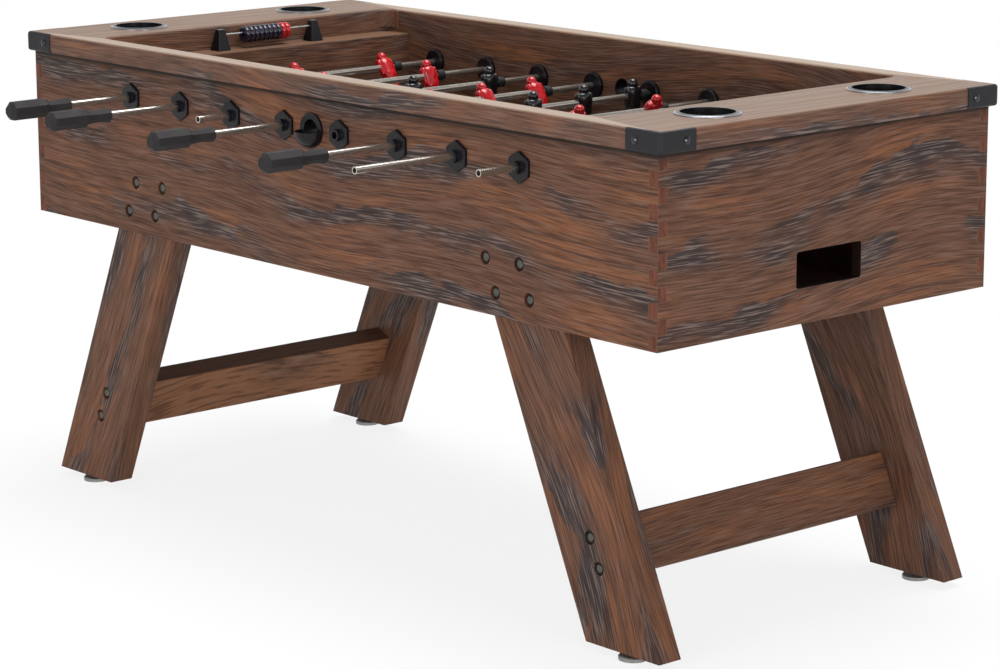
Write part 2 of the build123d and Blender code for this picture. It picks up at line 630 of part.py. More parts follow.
# An eight-sided grip, its inner end at the origin, reaching to the front: a waisted neck, then a barrel
with BuildPart() as grip:
    with BuildSketch(Plane.XZ) as neck_start:
        RegularPolygon(GRIP_NECK_RADIUS, 8, rotation=22.5)
    with BuildSketch(Plane.XZ.offset(GRIP_NECK_LENGTH * 0.6)) as neck_waist:
        RegularPolygon(GRIP_WAIST_RADIUS, 8, rotation=22.5)
    with BuildSketch(Plane.XZ.offset(GRIP_NECK_LENGTH)) as neck_end:
        RegularPolygon(GRIP_NECK_RADIUS, 8, rotation=22.5)
    loft(ruled=True)
    with BuildSketch(Plane.XZ.offset(GRIP_NECK_LENGTH)) as barrel_start:
        RegularPolygon(GRIP_RADIUS - GRIP_SHOULDER / 2, 8, rotation=22.5)
    with BuildSketch(Plane.XZ.offset(GRIP_NECK_LENGTH + GRIP_SHOULDER)) as barrel_shoulder:
        RegularPolygon(GRIP_RADIUS, 8, rotation=22.5)
    with BuildSketch(Plane.XZ.offset(GRIP_LENGTH - GRIP_END_CHAMFER)) as barrel_end:
        RegularPolygon(GRIP_RADIUS, 8, rotation=22.5)
    with BuildSketch(Plane.XZ.offset(GRIP_LENGTH)) as barrel_cap:
        RegularPolygon(GRIP_RADIUS - GRIP_END_CHAMFER, 8, rotation=22.5)
    loft(ruled=True)
    with BuildSketch(Plane.XZ) as socket:
        Circle(ROD_RADIUS)
    extrude(amount=GRIP_ROD_DEPTH, mode=Mode.SUBTRACT)

with BuildPart() as bumper:
    Cylinder(BUMPER_RADIUS, BUMPER_LENGTH, rotation=(90, 0, 0))
    fillet(bumper.edges(), BUMPER_EDGE)
    Cylinder(ROD_RADIUS + RUNNING_CLEARANCE, 2 * BUMPER_LENGTH, rotation=(90, 0, 0), mode=Mode.SUBTRACT)

# Eight rods from the left end: the tube, its men, its grip and its two bumpers
for number, (men, spacing, side, rest, turn) in enumerate(ROD_PLAN, 1):
    x = rod_places[number - 1][0]
    middle = Y_MID + rest * half_travel(men, spacing)
    grip_y = middle + side * grip_offset(men, spacing)
    ends = sorted((middle - side * tail_offset(men, spacing), grip_y + side * GRIP_ROD_DEPTH))
    with BuildPart() as rod:
        with BuildSketch(Plane.XZ.offset(-ends[1])) as tube:
            with Locations((x, Z_ROD)):
                Circle(ROD_RADIUS)
                Circle(ROD_RADIUS - ROD_WALL, mode=Mode.SUBTRACT)
        extrude(amount=ends[1] - ends[0])
    rod.part.label = f"rod_{number}"
    export_step(rod.part, f"parts/rod_{number}.step")

    with BuildPart() as rod_men:
        for n in range(men):
            with Locations(Location((x, middle + (n - (men - 1) / 2) * spacing, Z_ROD), (0, turn, 0))):
                add(man.part)
    rod_men.part.label = f"men_{number}"
    export_step(rod_men.part, f"parts/men_{number}.step")

    with BuildPart() as rod_grip:
        with Locations(Location((x, grip_y, Z_ROD), (0, 0, 90 + 90 * side))):
            add(grip.part)
    rod_grip.part.label = f"grip_{number}"
    export_step(rod_grip.part, f"parts/grip_{number}.step")

    bumper_step = (men - 1) * spacing / 2 + MAN_WIDTH / 2 + BODY_GAP + BUMPER_LENGTH / 2
    with BuildPart() as rod_bumpers:
        with Locations((x, middle - bumper_step, Z_ROD), (x, middle + bumper_step, Z_ROD)):
            add(bumper.part)
    rod_bumpers.part.label = f"bumpers_{number}"
    export_step(rod_bumpers.part, f"parts/bumpers_{number}.step")

# Front right leg: a splayed plank, cut level at both ends, bored for its bolts and leveler
with BuildPart() as leg_front_right:
    with BuildSketch(facing_front(-Y_LEG)) as plank:
        lean = SLOPE * (Z_LEG_TOP - FOOT_HEIGHT)
        Polygon(
            (FOOT_HALF_SPAN, FOOT_HEIGHT),
            (FOOT_HALF_SPAN - lean, Z_LEG_TOP),
            (FOOT_HALF_SPAN - LEG_CUT - lean, Z_LEG_TOP),
            (FOOT_HALF_SPAN - LEG_CUT, FOOT_HEIGHT),
            align=None,
        )
    extrude(amount=LEG_THICKNESS)
    with BuildSketch(facing_front(-Y_IN)) as panel_bolt_bores:
        with Locations(*leg_bolt_places):
            Circle(BOLT_RADIUS)
    extrude(amount=-BOLT_GRIP, mode=Mode.SUBTRACT)
    with BuildSketch(facing_front(-Y_IN)) as stretcher_counterbores:
        with Locations(*stretcher_bolt_places):
            Circle(COUNTERBORE_RADIUS)
    extrude(amount=-COUNTERBORE_DEPTH, mode=Mode.SUBTRACT)
    with BuildSketch(facing_front(-Y_IN)) as stretcher_bolt_bores:
        with Locations(*stretcher_bolt_places):
            Circle(BOLT_RADIUS + BOLT_CLEARANCE)
    extrude(amount=-LEG_THICKNESS, mode=Mode.SUBTRACT)
    with BuildSketch(Plane.XY.offset(FOOT_HEIGHT)) as leveler_bore:
        with Locations((X_FOOT, Y_MID - Y_IN + LEG_THICKNESS / 2)):
            Circle(STEM_RADIUS + RUNNING_CLEARANCE)
    extrude(amount=STEM_DEPTH + STEM_ROOM, mode=Mode.SUBTRACT)

with BuildPart() as leg_front_left:
    mirror(leg_front_right.part, about=Plane.YZ)

with BuildPart() as leg_back_right:
    mirror(leg_front_right.part, about=MIDDLE)

with BuildPart() as leg_back_left:
    mirror(leg_back_right.part, about=Plane.YZ)

# Stretchers between the legs of each end, turned to the legs' splay
with BuildPart() as stretchers:
    with BuildSketch(facing_front(Y_LEG)) as section:
        with Locations((leg_x(STRETCHER_HEIGHT), STRETCHER_HEIGHT)):
            Rectangle(STRETCHER_THICKNESS, STRETCHER_WIDTH, rotation=LEG_SPLAY)
    extrude(amount=2 * Y_LEG)
    fillet(stretchers.edges().filter_by(Axis.Y), STRETCHER_EDGE)
    with BuildSketch(facing_front(-Y_LEG)) as front_bores:
        with Locations(*stretcher_bolt_places):
            Circle(BOLT_RADIUS)
    extrude(amount=-BOLT_GRIP, mode=Mode.SUBTRACT)
    with BuildSketch(facing_front(Y_LEG)) as back_bores:
        with Locations(*stretcher_bolt_places):
            Circle(BOLT_RADIUS)
    extrude(amount=BOLT_GRIP, mode=Mode.SUBTRACT)
    mirror(about=Plane.YZ)

# Dome-headed bolts in their counterbores: four through the panel into each leg, two into each stretcher end
with BuildPart() as leg_bolts:
    for seat, places, length in (
        (Y_OUT - COUNTERBORE_DEPTH, leg_bolt_places, PANEL_THICKNESS - COUNTERBORE_DEPTH + BOLT_GRIP),
        (Y_IN - COUNTERBORE_DEPTH, stretcher_bolt_places, LEG_THICKNESS - COUNTERBORE_DEPTH + BOLT_GRIP),
    ):
        with BuildSketch(facing_front(-seat)) as shanks:
            with Locations(*places):
                Circle(BOLT_RADIUS)
        extrude(amount=-length)
        with BuildSketch(facing_front(-seat)) as washers:
            with Locations(*places):
                Circle(WASHER_RADIUS)
        extrude(amount=WASHER_THICKNESS)
        with BuildSketch(facing_front(-seat - WASHER_THICKNESS)) as heads:
            with Locations(*places):
                Circle(BOLT_HEAD_RADIUS)
        extrude(amount=BOLT_HEAD_HEIGHT, taper=BOLT_HEAD_TAPER)
    mirror(about=Plane.YZ)
    mirror(about=MIDDLE)

# Levelers: a pad on the floor and a stem up into the leg
with BuildPart() as leveler:
    with BuildSketch(Plane.XY) as pad:
        Circle(PAD_RADIUS)
    extrude(amount=PAD_HEIGHT)
    chamfer(leveler.edges().group_by(Axis.Z)[-1], PAD_HEIGHT * 0.3)
    with BuildSketch(Plane.XY.offset(PAD_HEIGHT)) as stem:
        Circle(STEM_RADIUS)
    extrude(amount=FOOT_HEIGHT - PAD_HEIGHT + STEM_DEPTH)

leveler_y = Y_IN - LEG_THICKNESS / 2
with BuildPart() as leveler_front_left:
    with Locations((-X_FOOT, Y_MID - leveler_y, 0)):
        add(leveler.part)

with BuildPart() as leveler_front_right:
    with Locations((X_FOOT, Y_MID - leveler_y, 0)):
        add(leveler.part)

with BuildPart() as leveler_back_left:
    with Locations((-X_FOOT, Y_MID + leveler_y, 0)):
        add(leveler.part)

with BuildPart() as leveler_back_right:
    with Locations((X_FOOT, Y_MID + leveler_y, 0)):
        add(leveler.part)

# The fixed pieces and the levelers, one file each
side_panel_front.part.label = "side_panel_front"
export_step(side_panel_front.part, "parts/side_panel_front.step")
side_panel_back.part.label = "side_panel_back"
export_step(side_panel_back.part, "parts/side_panel_back.step")
end_panel_left.part.label = "end_panel_left"
export_step(end_panel_left.part, "parts/end_panel_left.step")
end_panel_right.part.label = "end_panel_right"
export_step(end_panel_right.part, "parts/end_panel_right.step")
top_side_rails.part.label = "top_side_rails"
export_step(top_side_rails.part, "parts/top_side_rails.step")
top_end_rails.part.label = "top_end_rails"
export_step(top_end_rails.part, "parts/top_end_rails.step")
corner_brackets.part.label = "corner_brackets"
export_step(corner_brackets.part, "parts/corner_brackets.step")
bracket_screws.part.label = "bracket_screws"
export_step(bracket_screws.part, "parts/bracket_screws.step")
cup_holders.part.label = "cup_holders"
export_step(cup_holders.part, "parts/cup_holders.step")
playfield.part.label = "playfield"
export_step(playfield.part, "parts/playfield.step")
goal_walls.part.label = "goal_walls"
export_step(goal_walls.part, "parts/goal_walls.step")
score_posts.part.label = "score_posts"
export_step(score_posts.part, "parts/score_posts.step")
score_wire.part.label = "score_wire"
export_step(score_wire.part, "parts/score_wire.step")
score_beads.part.label = "score_beads"
export_step(score_beads.part, "parts/score_beads.step")
ball_trays.part.label = "ball_trays"
export_step(ball_trays.part, "parts/ball_trays.step")
serve_cups.part.label = "serve_cups"
export_step(serve_cups.part, "parts/serve_cups.step")
rod_bearings.part.label = "rod_bearings"
export_step(rod_bearings.part, "parts/rod_bearings.step")
leg_front_left.part.label = "leg_front_left"
export_step(leg_front_left.part, "parts/leg_front_left.step")
leg_front_right.part.label = "leg_front_right"
export_step(leg_front_right.part, "parts/leg_front_right.step")
leg_back_left.part.label = "leg_back_left"
export_step(leg_back_left.part, "parts/leg_back_left.step")
leg_back_right.part.label = "leg_back_right"
export_step(leg_back_right.part, "parts/leg_back_right.step")
stretchers.part.label = "stretchers"
export_step(stretchers.part, "parts/stretchers.step")
leg_bolts.part.label = "leg_bolts"
export_step(leg_bolts.part, "parts/leg_bolts.step")
leveler_front_left.part.label = "leveler_front_left"
export_step(leveler_front_left.part, "parts/leveler_front_left.step")
leveler_front_right.part.label = "leveler_front_right"
export_step(leveler_front_right.part, "parts/leveler_front_right.step")
leveler_back_left.part.label = "leveler_back_left"
export_step(leveler_back_left.part, "parts/leveler_back_left.step")
leveler_back_right.part.label = "leveler_back_right"
export_step(leveler_back_right.part, "parts/leveler_back_right.step")
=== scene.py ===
# %% [markdown]
# # A foosball table
# The table is a box-jointed cabinet of wire-brushed boards on four splayed plank legs. Eight chrome
# rods slide and turn in its long sides, each with a grip, its men and two bumpers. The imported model
# holds every piece at its real size. This lesson gives each one its finish, models the men as smooth
# figures, and sets up the studio.

# %% Load the frame
import json
import math

import bmesh
import bpy
from mathutils import Euler, Matrix, Vector


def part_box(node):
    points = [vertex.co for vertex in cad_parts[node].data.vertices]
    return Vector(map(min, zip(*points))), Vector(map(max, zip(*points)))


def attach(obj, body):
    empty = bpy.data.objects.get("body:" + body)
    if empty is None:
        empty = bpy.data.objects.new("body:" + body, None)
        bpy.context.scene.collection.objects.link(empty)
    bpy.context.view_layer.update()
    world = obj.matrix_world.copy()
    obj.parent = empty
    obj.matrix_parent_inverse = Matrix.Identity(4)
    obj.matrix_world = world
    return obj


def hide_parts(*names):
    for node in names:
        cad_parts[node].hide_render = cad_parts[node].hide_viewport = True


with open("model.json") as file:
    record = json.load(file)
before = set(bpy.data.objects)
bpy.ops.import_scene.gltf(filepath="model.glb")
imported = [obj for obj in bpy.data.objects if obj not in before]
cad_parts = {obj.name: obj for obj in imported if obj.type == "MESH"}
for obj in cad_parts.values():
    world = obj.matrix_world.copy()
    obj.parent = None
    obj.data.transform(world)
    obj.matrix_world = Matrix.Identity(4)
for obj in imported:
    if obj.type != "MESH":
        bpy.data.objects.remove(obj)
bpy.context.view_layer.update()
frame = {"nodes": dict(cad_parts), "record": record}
nodes = frame["nodes"]

# %% [markdown]
# ## Measuring the frame
# Finishes that change from place to place, such as the painted lines, need to know where pieces are.
# They could be typed in, but then they would drift from the model. Here they are read from the boxes
# of the nodes, in metres.

# %% Places read from the frame
rail_low, rail_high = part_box("top_end_rails")
MIDDLE_Y = (rail_low.y + rail_high.y) / 2
TABLE_TOP = rail_high.z
ROD_COUNT = 8
MEN_ON_ROD = (3, 2, 3, 5, 5, 3, 2, 3)
RED_RODS = (1, 2, 4, 6)
print("middle plane y:", round(MIDDLE_Y, 4), "table top:", round(TABLE_TOP, 4))

# %% [markdown]
# ## Helpers for node trees
# A shader is a tree of nodes, and writing each link by hand makes long code. These helpers add a node,
# set or link its inputs, and give back what it puts out, so a finish below reads as a few sums.

# %% Node helpers
def feed(tree, socket, value):
    """Link a socket to another socket, or set its value."""
    if isinstance(value, bpy.types.NodeSocket):
        tree.links.new(value, socket)
    else:
        socket.default_value = value


def put(tree, kind, inputs=None, **settings):
    """Add a shader node with its settings and inputs."""
    node = tree.nodes.new("ShaderNode" + kind)
    for name, value in settings.items():
        setattr(node, name, value)
    for name, value in (inputs or {}).items():
        feed(tree, node.inputs[name], value)
    return node


def sum_up(tree, operation, *values):
    """One Math node."""
    node = put(tree, "Math", operation=operation)
    for socket, value in zip(node.inputs, values):
        feed(tree, socket, value)
    return node.outputs[0]


def fade(tree, value, start, end, low=0.0, high=1.0):
    """Go smoothly from low to high as value goes from start to end."""
    names = {"Value": value, "From Min": start, "From Max": end, "To Min": low, "To Max": high}
    return put(tree, "MapRange", names, interpolation_type="SMOOTHSTEP").outputs[0]


def blend(tree, amount, first, second, way="MIX"):
    """Mix two colours."""
    node = put(tree, "Mix", data_type="RGBA", blend_type=way)
    for index, value in ((0, amount), (6, first), (7, second)):
        feed(tree, node.inputs[index], value)
    return node.outputs[2]


def noise(tree, vector, stretch, detail=2.0, rough=0.5):
    """Noise with its own number of cycles per metre along each axis."""
    scaled = put(tree, "VectorMath", {0: vector, 1: stretch}, operation="MULTIPLY").outputs[0]
    inputs = {"Vector": scaled, "Scale": 1.0, "Detail": detail, "Roughness": rough}
    return put(tree, "TexNoise", inputs).outputs[0]


def split(tree, vector):
    """The three parts of a vector."""
    return put(tree, "SeparateXYZ", {0: vector}).outputs


def join(tree, x, y, z):
    """A vector from three parts."""
    return put(tree, "CombineXYZ", {0: x, 1: y, 2: z}).outputs[0]


def paint(red, green, blue):
    """A colour as seen on a screen, from 0 to 255, as the linear colour that shaders use."""
    parts = [c / 255 for c in (red, green, blue)]
    return [c / 12.92 if c <= 0.04045 else ((c + 0.055) / 1.055) ** 2.4 for c in parts] + [1.0]


def new_group(name, inputs, outputs):
    """A node group with named sockets; gives the group, its input sockets and its output sockets."""
    group = bpy.data.node_groups.new(name, "ShaderNodeTree")
    for label, (kind, default) in inputs.items():
        socket = group.interface.new_socket(label, in_out="INPUT", socket_type="NodeSocket" + kind)
        socket.default_value = default
    for label, kind in outputs.items():
        group.interface.new_socket(label, in_out="OUTPUT", socket_type="NodeSocket" + kind)
    given = group.nodes.new("NodeGroupInput").outputs
    made = group.nodes.new("NodeGroupOutput").inputs
    return group, given, made


def place(tree, group, **inputs):
    """Put a node group in a material, with its own values."""
    node = tree.nodes.new("ShaderNodeGroup")
    node.node_tree = group
    for label, value in inputs.items():
        feed(tree, node.inputs[label.replace("_", " ")], value)
    return node.outputs


def new_material(name, **shader):
    """A material with a Principled shader whose sockets are set; gives the material, tree and shader."""
    material = bpy.data.materials.new(name)
    material.use_nodes = True
    tree = material.node_tree
    principled = tree.nodes["Principled BSDF"]
    for label, value in shader.items():
        principled.inputs[label.replace("_", " ")].default_value = value
    return material, tree, principled


def bump(tree, principled, height, depth, strength=1.0, normal=None):
    """Relief: height from 0 to 1 over a depth in metres."""
    inputs = {"Height": height, "Distance": depth, "Strength": strength}
    if normal is not None:
        inputs["Normal"] = normal
    relief = put(tree, "Bump", inputs)
    tree.links.new(relief.outputs[0], principled.inputs["Normal"])


def dress(material, *names):
    """Give CAD nodes a material."""
    for name in names:
        for slot in nodes[name].material_slots:
            slot.material = material


# %% [markdown]
# ## Worn edges
# On the real table the arrises of boards, brackets and plastic are a little rounded and catch the
# light. The edges could be bevelled as geometry, but the CAD meshes stay as they are. A Bevel node
# finds the edges instead: near one, its rounded normal turns away from the true normal. The group
# puts out that rounded normal and an edge mask, for the wood and the moulded and coated finishes.

# %% Node group: worn edge
def worn_edge_group():
    group, given, made = new_group(
        "Worn edge", {"Radius": ("Float", 0.0015)}, {"Mask": "Float", "Normal": "Vector"}
    )
    rounded = put(group, "Bevel", {"Radius": given["Radius"]}, samples=4).outputs[0]
    true_normal = put(group, "NewGeometry").outputs["Normal"]
    normals = {0: rounded, 1: true_normal}
    agree = put(group, "VectorMath", normals, operation="DOT_PRODUCT").outputs["Value"]
    on_the_flat, on_the_edge = 0.995, 0.88
    feed(group, made["Mask"], fade(group, agree, on_the_flat, on_the_edge))
    feed(group, made["Normal"], rounded)
    return group


WORN_EDGE = worn_edge_group()
print("group:", WORN_EDGE.name)

# %% [markdown]
# ## Brushed grain
# The boards are flat-sawn and wire-brushed: broad dark bands sway across each board like contour lines,
# and brushing leaves fine ridges and grooves, plainest inside the dark bands. The ridges are painted
# lighter as painted highlight, and the grooves darker as painted shade. A wave texture gives bands that are
# too even.
# Here a slow noise bends the across-the-board distance into a "ring" distance. The bands follow it fully,
# and the brushed lines only in part, so the bands cross them at a low angle.

# %% Node group: brushed grain
DEPTH_SHARE = 0.7
BRUSHED_SWAY = 0.4
BAND_WOBBLE = 1.3
BAND_DEPTH = 0.35
PITH_BROWN, SAP_BROWN, RUST_BROWN = paint(86, 57, 43), paint(105, 71, 53), paint(133, 83, 52)
LIGHT_BROWN, BAND_GREY = paint(150, 103, 72), paint(52, 47, 49)
# painted shade for the grooves and painted highlight for the ridges
GROOVE_SHADE, RIDGE_HIGHLIGHT = paint(42, 29, 25), paint(150, 130, 120)


def brushed_grain_group():
    group, given, made = new_group(
        "Brushed grain",
        {
            "Board": ("Vector", (0, 0, 0)),
            "Band spacing": ("Float", 0.08),
            "Sway": ("Float", 0.5),
            "Bands": ("Float", 1.0),
            "Lightening": ("Float", 0.0),
        },
        {"Colour": "Color", "Height": "Float", "Roughness": "Float"},
    )
    board = given["Board"]
    along, across, deep = split(group, board)
    flat = sum_up(group, "MULTIPLY_ADD", deep, DEPTH_SHARE, across)
    drift = sum_up(group, "SUBTRACT", noise(group, board, (0.9, 0.5, 0.5), 1.0), 0.5)
    ring = sum_up(group, "MULTIPLY_ADD", drift, given["Sway"], flat)
    less_sway = sum_up(group, "MULTIPLY", given["Sway"], BRUSHED_SWAY)
    ringed = join(group, along, ring, 0.0)
    brushed = join(group, along, sum_up(group, "MULTIPLY_ADD", drift, less_sway, flat), 0.0)

    wobble = noise(group, ringed, (5.0, 16.0, 0.0), 4.0, 0.62)
    count = sum_up(group, "DIVIDE", ring, given["Band spacing"])
    turn = sum_up(group, "FRACT", sum_up(group, "MULTIPLY_ADD", wobble, BAND_WOBBLE, count))
    late = sum_up(group, "MULTIPLY", fade(group, turn, 0.46, 0.80), fade(group, turn, 1.0, 0.93))
    patches = fade(group, noise(group, ringed, (2.8, 9.0, 0.0), 3.0), 0.40, 0.55, 0.05, 1.0)
    dark = sum_up(group, "MULTIPLY", sum_up(group, "MULTIPLY", late, patches), given["Bands"])

    streaks = noise(group, brushed, (3.2, 130.0, 0.0), 4.0, 0.6)
    zones = noise(group, ringed, (3.4, 16.0, 0.0), 3.0)
    fibres = noise(group, brushed, (15.0, 540.0, 0.0), 2.0, 0.5)
    ridge_highlight_mask = fade(group, fibres, 0.51, 0.62)
    groove_shade_mask = fade(group, fibres, 0.49, 0.37)

    colour = blend(group, fade(group, streaks, 0.32, 0.66), PITH_BROWN, SAP_BROWN)
    warm = sum_up(group, "MULTIPLY", fade(group, streaks, 0.36, 0.62), fade(group, zones, 0.46, 0.66))
    colour = blend(group, sum_up(group, "MULTIPLY", warm, 0.75), colour, RUST_BROWN)
    colour = blend(group, given["Lightening"], colour, LIGHT_BROWN)
    colour = blend(group, sum_up(group, "MULTIPLY", dark, 0.88), colour, BAND_GREY)
    # painted shade in the grooves, strongest inside the dark bands
    groove_shade = sum_up(group, "MULTIPLY", groove_shade_mask, fade(group, dark, 0.0, 1.0, 0.48, 0.66))
    colour = blend(group, groove_shade, colour, GROOVE_SHADE)
    # painted highlight on the ridges, strongest inside the dark bands
    ridge_highlight = sum_up(group, "MULTIPLY", ridge_highlight_mask, fade(group, dark, 0.0, 0.9, 0.16, 0.44))
    colour = blend(group, ridge_highlight, colour, RIDGE_HIGHLIGHT)
    feed(group, made["Colour"], colour)

    relief = sum_up(group, "MULTIPLY_ADD", dark, -BAND_DEPTH, fibres)
    feed(group, made["Height"], relief)
    feed(group, made["Roughness"], fade(group, streaks, 0.3, 0.7, 0.64, 0.48))
    return group


BRUSHED_GRAIN = brushed_grain_group()
print("group:", BRUSHED_GRAIN.name)

# %% [markdown]
# ## End grain
# Where a board is cut across, as at the fingers of the box joints, the stain soaks in and the wood looks
# redder and darker, with pores instead of streaks. The group compares the surface's normal with the
# board's own direction to find those faces.

# %% Node group: end grain
def end_grain_group():
    group, given, made = new_group(
        "End grain",
        {
            "Colour": ("Color", (0, 0, 0, 1)),
            "Board": ("Vector", (0, 0, 0)),
            "Along": ("Vector", (1, 0, 0)),
        },
        {"Colour": "Color"},
    )
    normal = put(group, "NewGeometry").outputs["Normal"]
    inputs = {0: normal, 1: given["Along"]}
    facing = put(group, "VectorMath", inputs, operation="DOT_PRODUCT").outputs["Value"]
    mask = fade(group, sum_up(group, "ABSOLUTE", facing), 0.85, 0.95)
    pores = noise(group, given["Board"], (20.0, 420.0, 420.0), 2.0)
    rings = noise(group, given["Board"], (2.0, 120.0, 30.0), 3.0)
    cut = blend(group, fade(group, rings, 0.35, 0.65), paint(84, 50, 38), paint(112, 66, 48))
    cut = blend(group, fade(group, pores, 0.48, 0.36, 0.0, 0.5), cut, paint(58, 34, 28))
    feed(group, made["Colour"], blend(group, mask, given["Colour"], cut))
    return group


END_GRAIN = end_grain_group()
print("group:", END_GRAIN.name)

# %% [markdown]
# ## Painted shadow under an overhang
# Just below the rail that stands proud of a board, a dark line with a soft lower edge is painted as the
# shadow of the overhang, because soft light hardly draws so small a step. The group marks the outward faces
# of a board by their height below the overhang. Its second mask is those faces alone, because the sides
# that face the field were sanded smoother and show weaker bands.

# %% Node group: rail shadow line
def rail_shadow_line_group():
    group, given, made = new_group(
        "Rail shadow line", {"Height": ("Float", 0.0)}, {"Mask": "Float", "Outward": "Float"}
    )
    surface = put(group, "NewGeometry").outputs
    inputs = {0: surface["Position"], 1: (0.0, MIDDLE_Y, 0.0)}
    from_middle = put(group, "VectorMath", inputs, operation="SUBTRACT").outputs[0]
    inputs = {0: from_middle, 1: surface["Normal"]}
    outward = put(group, "VectorMath", inputs, operation="DOT_PRODUCT").outputs["Value"]
    below = sum_up(group, "SUBTRACT", given["Height"], split(group, surface["Position"])[2])
    soft_reach, soft_part, line_end, line_start = 0.024, 0.55, 0.008, 0.004
    wide = fade(group, below, soft_reach, 0.0, 0.0, soft_part)
    line = fade(group, below, line_end, line_start)
    soft = sum_up(group, "MULTIPLY_ADD", line, 1.0 - soft_part, wide)
    facing = fade(group, outward, 0.10, 0.20)
    feed(group, made["Mask"], sum_up(group, "MULTIPLY", soft, facing))
    feed(group, made["Outward"], facing)
    return group


RAIL_SHADOW_LINE = rail_shadow_line_group()
print("group:", RAIL_SHADOW_LINE.name)

# %% [markdown]
# ## Wooden boards
# Each board has its grain along its length: X on the long sides, Y on the ends, and the slope of the leg
# on the legs. One function makes the finish for any direction. A Mapping node turns the object's
# coordinates so that the grain runs along the group's first axis, and shifts them so that each kind of
# board shows its own piece of the tree, but for the long side panels and their rails, which share one.

# %% Finish: brushed wood
EDGE_RADIUS, EDGE_WEAR, EDGE_PALE = 0.0022, 0.30, paint(150, 118, 96)
# the dark line below the rail is painted shadow of its overhang
SHADOW_LINE_AMOUNT, SHADOW_LINE_DARK = 0.92, paint(22, 14, 11)
# painted shade for the cut faces inside the ball-return opening
OPENING_SHADE_AMOUNT, OPENING_SHADE_DARK, CUT_MARGIN = 0.94, paint(20, 9, 7), 0.008
GRAIN_RELIEF, GRAIN_STRENGTH = 0.0010, 0.75


def brushed_wood(
    name,
    along,
    shift,
    spacing=0.075,
    sway=0.55,
    bands=1.0,
    lightening=0.0,
    top=None,
    inner=None,
    overhang=None,
    opening=None,
    **shader,
):
    """Wood with its grain along a direction.

    bands is how strong the dark bands are, and inner how strong on the faces toward the field. lightening
    is how far the colour goes to light brown, or a pair for the left and right boards; the left stretcher's
    is painted light. top is how far the upper faces go to a colour, how much smoother they are, and that
    colour;
    the colour is painted light from above on the rail and shelf tops and painted shade on the stretcher
    tops.
    overhang is the height of a rail above the board, below which a painted shadow line is drawn, and
    opening the box of a hole whose cut faces are darkened with painted shade.
    """
    material, tree, principled = new_material(name, **shader)
    along = Vector(along).normalized()
    turn = along.rotation_difference(Vector((1, 0, 0))).to_euler()
    place_on = put(tree, "TexCoord").outputs["Object"]
    board = put(tree, "Mapping", {"Vector": place_on, "Location": shift, "Rotation": turn}).outputs[0]
    if overhang or inner is not None:
        shadow_line = place(tree, RAIL_SHADOW_LINE, Height=overhang or 0.0)
    if inner is not None:
        bands = fade(tree, shadow_line["Outward"], 0.0, 1.0, inner, bands)
    if isinstance(lightening, tuple):
        lightening = fade(tree, split(tree, place_on)[0], -0.1, 0.1, *lightening)
    values = {"Band_spacing": spacing, "Sway": sway, "Bands": bands, "Lightening": lightening}
    grain = place(tree, BRUSHED_GRAIN, Board=board, **values)
    ends = place(tree, END_GRAIN, Colour=grain["Colour"], Board=board, Along=along)
    edge = place(tree, WORN_EDGE, Radius=EDGE_RADIUS)
    worn = sum_up(tree, "MULTIPLY", edge["Mask"], EDGE_WEAR)
    finish = blend(tree, worn, ends["Colour"], EDGE_PALE)
    dull = grain["Roughness"]
    if top:
        amount, smooth, colour = top
        # painted light on the upper faces, and painted shade on the stretcher tops
        upward = fade(tree, split(tree, edge["Normal"])[2], 0.35, 0.95)
        finish = blend(tree, sum_up(tree, "MULTIPLY", upward, amount), finish, colour)
        dull = sum_up(tree, "MULTIPLY_ADD", upward, -smooth, dull)
    if overhang:
        # painted shadow of the rail's overhang along the top of the board
        finish = blend(tree, sum_up(tree, "MULTIPLY", shadow_line["Mask"], SHADOW_LINE_AMOUNT), finish, SHADOW_LINE_DARK)
    # painted shade on the cut faces inside the opening
    if opening:
        (_, near_y, low_z), (_, far_y, high_z) = opening
        _, y, z = split(tree, place_on)
        off_y = sum_up(tree, "ABSOLUTE", sum_up(tree, "SUBTRACT", y, (near_y + far_y) / 2))
        off_z = sum_up(tree, "ABSOLUTE", sum_up(tree, "SUBTRACT", z, (low_z + high_z) / 2))
        beyond_y = sum_up(tree, "SUBTRACT", off_y, (far_y - near_y) / 2)
        beyond_z = sum_up(tree, "SUBTRACT", off_z, (high_z - low_z) / 2)
        beyond = sum_up(tree, "MAXIMUM", beyond_y, beyond_z)
        inside = fade(tree, beyond, CUT_MARGIN, CUT_MARGIN - 0.001)
        facing = sum_up(tree, "ABSOLUTE", split(tree, put(tree, "NewGeometry").outputs["Normal"])[0])
        cut = sum_up(tree, "MULTIPLY", inside, fade(tree, facing, 0.7, 0.4))
        finish = blend(tree, sum_up(tree, "MULTIPLY", cut, OPENING_SHADE_AMOUNT), finish, OPENING_SHADE_DARK)
    tree.links.new(finish, principled.inputs["Base Color"])
    tree.links.new(dull, principled.inputs["Roughness"])
    bump(tree, principled, grain["Height"], GRAIN_RELIEF, GRAIN_STRENGTH, edge["Normal"])
    return material


LEG_SPLAY = math.radians(23.7)
leg_lean = math.tan(LEG_SPLAY)
MATTE = {"Specular_IOR_Level": 0.16}
RUBBED = {"Specular_IOR_Level": 0.32}
